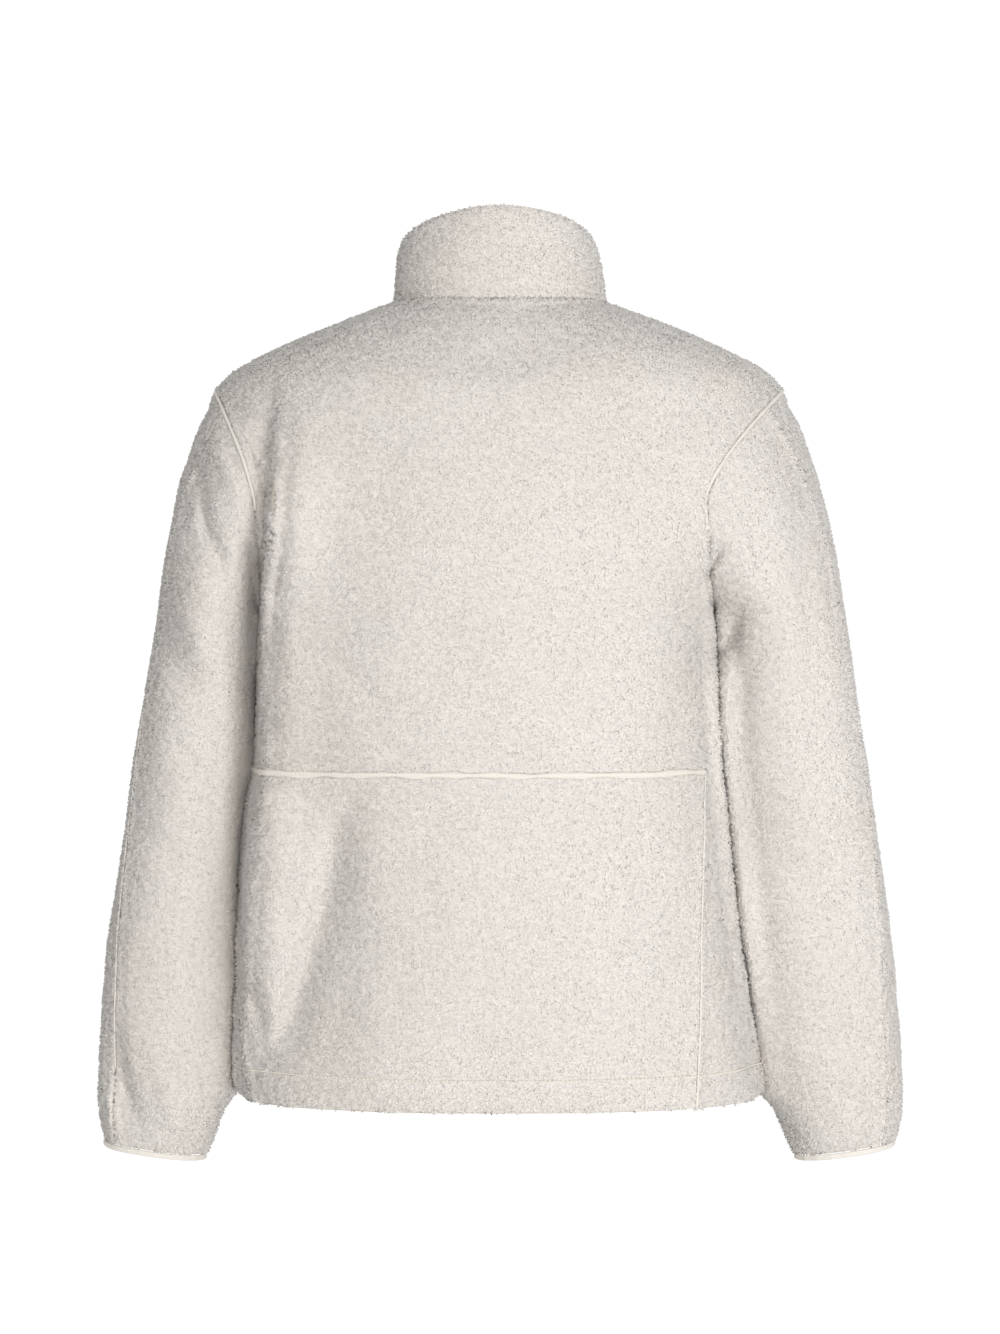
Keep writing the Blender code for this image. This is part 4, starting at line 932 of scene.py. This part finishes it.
# %% Strips under the pile
JOINED = ("shoulder_left", "shoulder_right", "side_left", "side_right", "elbow_left", "elbow_right",
          "underarm_left", "underarm_right", "armhole_right", "collar")
joins = [moulded_strip(name + "_join", seams[name], 3.4 * MM, -0.3 * MM, 0.5 * MM) for name in JOINED]
for piece in joins:
    piece.data.materials[0] = ground_material
    mark(piece.data, "pile", np.ones(len(piece.data.vertices)))
tell(joins)


# %% Stitches
STITCH_DIP = 0.9                                   # how many times its thickness a stitch's ends go down


def one_stitch(length, thick):
    """A short piece of thread that dips into the cloth at both ends."""
    select_only()
    bpy.ops.mesh.primitive_cylinder_add(vertices=5, radius=thick / 2, depth=length, end_fill_type="TRIFAN",
                                        rotation=(0, math.pi / 2, 0))
    bpy.ops.object.transform_apply(location=True, rotation=True, scale=True)
    piece = bpy.context.object
    with edit_mode(piece):
        bpy.ops.mesh.bisect(plane_co=(0, 0, 0), plane_no=(1, 0, 0))
    shape = coordinates(piece.data)
    shape[:, 2] -= thick * STITCH_DIP * (np.abs(shape[:, 0]) / (length / 2)) ** 2
    piece.data.vertices.foreach_set("co", shape.ravel())
    piece.data.update()
    return piece


def copies_along(name, template, line, spacing, lift, shift=0.0, start=0.0, material=thread_material):
    """Copies of a small template along a line, joined into one mesh. Its X runs along the line."""
    points, facing = line
    run = np.concatenate([[0], np.cumsum(np.linalg.norm(np.diff(points, axis=0), axis=1))])
    shape = coordinates(template.data)
    faces = [tuple(face.vertices) for face in template.data.polygons]
    places, loops = [], []
    for at in np.arange(start + spacing / 2, run[-1] - spacing / 2, spacing):
        place, ahead, up_here = (np.array([np.interp(where, run, what[:, k]) for k in range(3)])
                                 for where, what in ((at, points), (at + 1 * MM, points), (at, facing)))
        along = (ahead - place) / np.linalg.norm(ahead - place)
        side = np.cross(up_here, along)
        side /= np.linalg.norm(side)
        up_here = np.cross(along, side)
        loops += [tuple(index + len(places) * len(shape) for index in face) for face in faces]
        places.append(place + side * shift + up_here * lift + shape @ np.stack([along, side, up_here]))
    bpy.data.objects.remove(template)
    mesh = bpy.data.meshes.new(name)
    mesh.from_pydata(np.concatenate(places).tolist(), [], loops)
    mesh.shade_smooth()
    mesh.materials.append(material)
    return new_object(name, mesh)


STITCHES = {   # the line, then length and thickness of a stitch, spacing, lift and shift in mm
    "waist_stitches_upper": (seams["waist"], 2.5, 0.55, 3.2, 2.5, 1.3),
    "waist_stitches_lower": (seams["waist"], 2.5, 0.55, 3.2, 2.5, -1.3),
    "hem_stitches": (HEM, 3.0, 1.0, 3.4, 2.0, 0.0),
}
stitches = [copies_along(name, one_stitch(length * MM, thick * MM), line, *[size * MM for size in sizes])
            for name, (line, length, thick, *sizes) in STITCHES.items()]
tell(stitches)

# %% [markdown]
# ## The zip
# The teeth of a moulded zip are single plastic teeth on the edge of each tape. When it is shut,
# the teeth of the two sides stand in turns, each with its head between two of its neighbours. One
# tooth is modelled from a cube: its far end is drawn in to a rounded head. Its copies follow the
# line of the solid chain, first on one side and then, half a step on, turned round on the other.

# %% The line of the chain
chain_points = coordinates(frame["nodes"]["zip_chain"].data)
levels = np.unique(chain_points[:, 2].round(4))[::-1]
chain_front = np.array([[0, chain_points[np.abs(chain_points[:, 2] - level) < 0.1 * MM, 1].min(), level]
                        for level in levels])
chain_front = chain_front[np.concatenate([[True], np.diff(chain_front[:, 2]) < -2 * MM])]
slope = np.gradient(chain_front, axis=0)
chain_facing = np.stack([0 * slope[:, 0], slope[:, 2], -slope[:, 1]], axis=1)
chain_facing /= np.linalg.norm(chain_facing, axis=1, keepdims=True)
chain_line = smooth_path(chain_front, chain_facing, 2 * MM)
print("chain length", round(len(chain_line[0]) * 2 * MM, 3), "m, faces", chain_facing[0].round(2))


# %% One tooth, and the two rows
TOOTH_PITCH, TOOTH_HIGH, TOOTH_LONG, TOOTH_DEEP = 3.0 * MM, 1.25 * MM, 3.4 * MM, 1.9 * MM
NECK_PLACE, NECK, HEAD, HEAD_DEEP = 0.14 * TOOTH_LONG, 0.62, 1.12, 0.8   # three shares of a tooth
TOOTH_EDGE, ROW_SHIFT = 0.22 * MM, 0.85 * MM


def one_tooth(turned):
    """A tooth whose head points along +Y, or along -Y if it is turned."""
    select_only()
    bpy.ops.mesh.primitive_cube_add(size=1, scale=(TOOTH_HIGH, TOOTH_LONG, TOOTH_DEEP))
    piece = bpy.context.object
    bpy.ops.object.transform_apply(location=False, rotation=False, scale=True)
    with edit_mode(piece):
        bpy.ops.mesh.bisect(plane_co=(0, NECK_PLACE, 0), plane_no=(0, 1, 0))
    shape = coordinates(piece.data)
    neck = np.abs(shape[:, 1] - NECK_PLACE) < 0.1 * MM
    head = shape[:, 1] > 2 * NECK_PLACE
    shape[neck, 0] *= NECK
    shape[head, 0] *= HEAD
    shape[head, 2] *= HEAD_DEEP
    piece.data.vertices.foreach_set("co", shape.ravel())
    rounding = piece.modifiers.new("moulded edges", "BEVEL")
    rounding.width, rounding.segments, rounding.limit_method = TOOTH_EDGE, 1, "ANGLE"
    bpy.ops.object.modifier_apply(modifier="moulded edges")
    if turned:
        bpy.ops.transform.rotate(value=math.pi, orient_axis="Z", center_override=(0, 0, 0))
        bpy.ops.object.transform_apply(location=False, rotation=True, scale=False)
    return piece


ROWS = (("zip_teeth_left", False, -ROW_SHIFT, 0.0), ("zip_teeth_right", True, ROW_SHIFT, TOOTH_PITCH / 2))
rows = [copies_along(name, one_tooth(turned), chain_line, TOOTH_PITCH, -TOOTH_DEEP / 2, shift, start,
                     teeth_material) for name, turned, shift, start in ROWS]
tell(rows)


# %% The tapes' hidden halves
# The woven tape of each side runs on under the teeth to the middle, and under the fleece, where it
# is sewn. This half is its own piece, so that no light shows through the zip.
TAPE_BEHIND, HIDDEN_WIDTH, MIDDLE_GAP = 2.5 * MM, 9.0 * MM, 0.1 * MM
points, facing = chain_line
below = [points[-1:] - [[0, 0, drop * MM]] for drop in (4, 9)]      # on to the end of the zip's box
points, facing = np.concatenate([points, *below]), np.concatenate([facing, facing[-1:], facing[-1:]])
hidden_tapes = [moulded_strip(name, (points + [[side * (HIDDEN_WIDTH + MIDDLE_GAP) / 2, 0, 0]], facing),
                              HIDDEN_WIDTH, -TAPE_BEHIND, 0.0, thick=0.6 * MM)
                for name, side in (("zip_tape_hidden_left", 1), ("zip_tape_hidden_right", -1))]
for piece in hidden_tapes:
    piece.data.materials[0] = woven_material
tell(hidden_tapes)

# %% [markdown]
# ## What rides on what
# Every piece moves with the jacket's body, and the cloth stands for its solid.

# %% Riding
for panel, cloth in cloths.items():
    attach(cloth, JACKET)
    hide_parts(panel)
    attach(piles[panel], JACKET)
for pieces, slot in ((joins, "sherpa_fleece"), (tapes + stitches, "stretch_binding"),
                     (hidden_tapes, "woven_zip_tape"), (rows, "moulded_zip_teeth")):
    for piece in pieces:
        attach(piece, JACKET)
for piece in rows:
    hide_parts("zip_chain")
METAL_PARTS = ("zip_slider", "zip_pull", "zip_box", "zip_stop_left", "zip_stop_right")
FINISHES = {"cuff_binding_left": tape_material, "cuff_binding_right": tape_material,
            "zip_tape_left": woven_material, "zip_tape_right": woven_material,
            **{name: metal_material for name in METAL_PARTS}}
for name, material in FINISHES.items():
    frame["nodes"][name].data.materials.clear()
    frame["nodes"][name].data.materials.append(material)
print("solids that keep their shape", len(FINISHES))

# %% [markdown]
# ## The cut of the cloth
# Each panel was cut from flat cloth before it was sewn. Both fronts have one cut, and so have both
# sleeves: on this jacket the left front is drawn a little short and the right one lies a little full.

# %% [markdown]
# ## Light
# The photograph is lit by a large soft light from the front with white all round.

# %% Light and floor
FOCUS = 2.0                                        # how narrowly a wall's brightness keeps to its direction
WALLS = {(0, -1, 0): 1.06, (0, 1, 0): 0.70, (-1, 0, 0): 0.58, (1, 0, 0): 0.42, (0, 0, 1): 0.56,
         (0, 0, -1): 0.56}
KEY_PLACE, KEY_TARGET, KEY_SIZE, KEY_POWER = (-0.9, 3.0, -0.35), (0, 0, -0.3), 2.0, 50
FLOOR_HEIGHT = -1.25


def studio_light(walls):
    """A world whose brightness depends on where one looks. Each wall of the studio has its own."""
    world = bpy.data.worlds.new("soft white studio")
    bpy.context.scene.world = world
    world.use_nodes = True
    add = partial(add_node, world.node_tree)
    toward = add("ShaderNodeTexCoord")["Generated"]
    level, total = 0.0, 0.0
    for direction, value in walls.items():
        cosine = add(VECTOR_MATH, (toward, direction), operation="DOT_PRODUCT")["Value"]
        facing = add(MATH, (cosine, 0.0), operation="MAXIMUM")[0]
        weight = add(MATH, (facing, FOCUS), operation="POWER")[0]
        level = add(MATH, (weight, value, level), operation="MULTIPLY_ADD")[0]
        total = add(MATH, (weight, total), operation="ADD")[0]
    brightness = add(MATH, (level, total), operation="DIVIDE")[0]
    set_sockets(world.node_tree.nodes["Background"], {"Color": (1, 1, 1, 1), "Strength": brightness})


studio_light(WALLS)
bpy.context.scene.view_settings.view_transform = "Standard"
bpy.ops.object.light_add(type="AREA", location=KEY_PLACE)
key = bpy.context.object
key.data.shape, key.data.size, key.data.energy = "SQUARE", KEY_SIZE, KEY_POWER
key.rotation_euler = (Vector(KEY_TARGET) - key.location).to_track_quat("-Z", "Y").to_euler()
print("lights", key.name, "and a world of", len(WALLS), "walls")


# %% The floor
select_only()
bpy.ops.mesh.primitive_plane_add(size=3, location=(0, 0, FLOOR_HEIGHT))
floor = bpy.context.object
floor.name = "floor"
floor_material, _, shader = new_material("matt_white_paint")
set_sockets(shader, {"Base Color": colour("#F4F4F2"), "Roughness": 0.9})
floor.data.materials.append(floor_material)
print("floor at", FLOOR_HEIGHT)
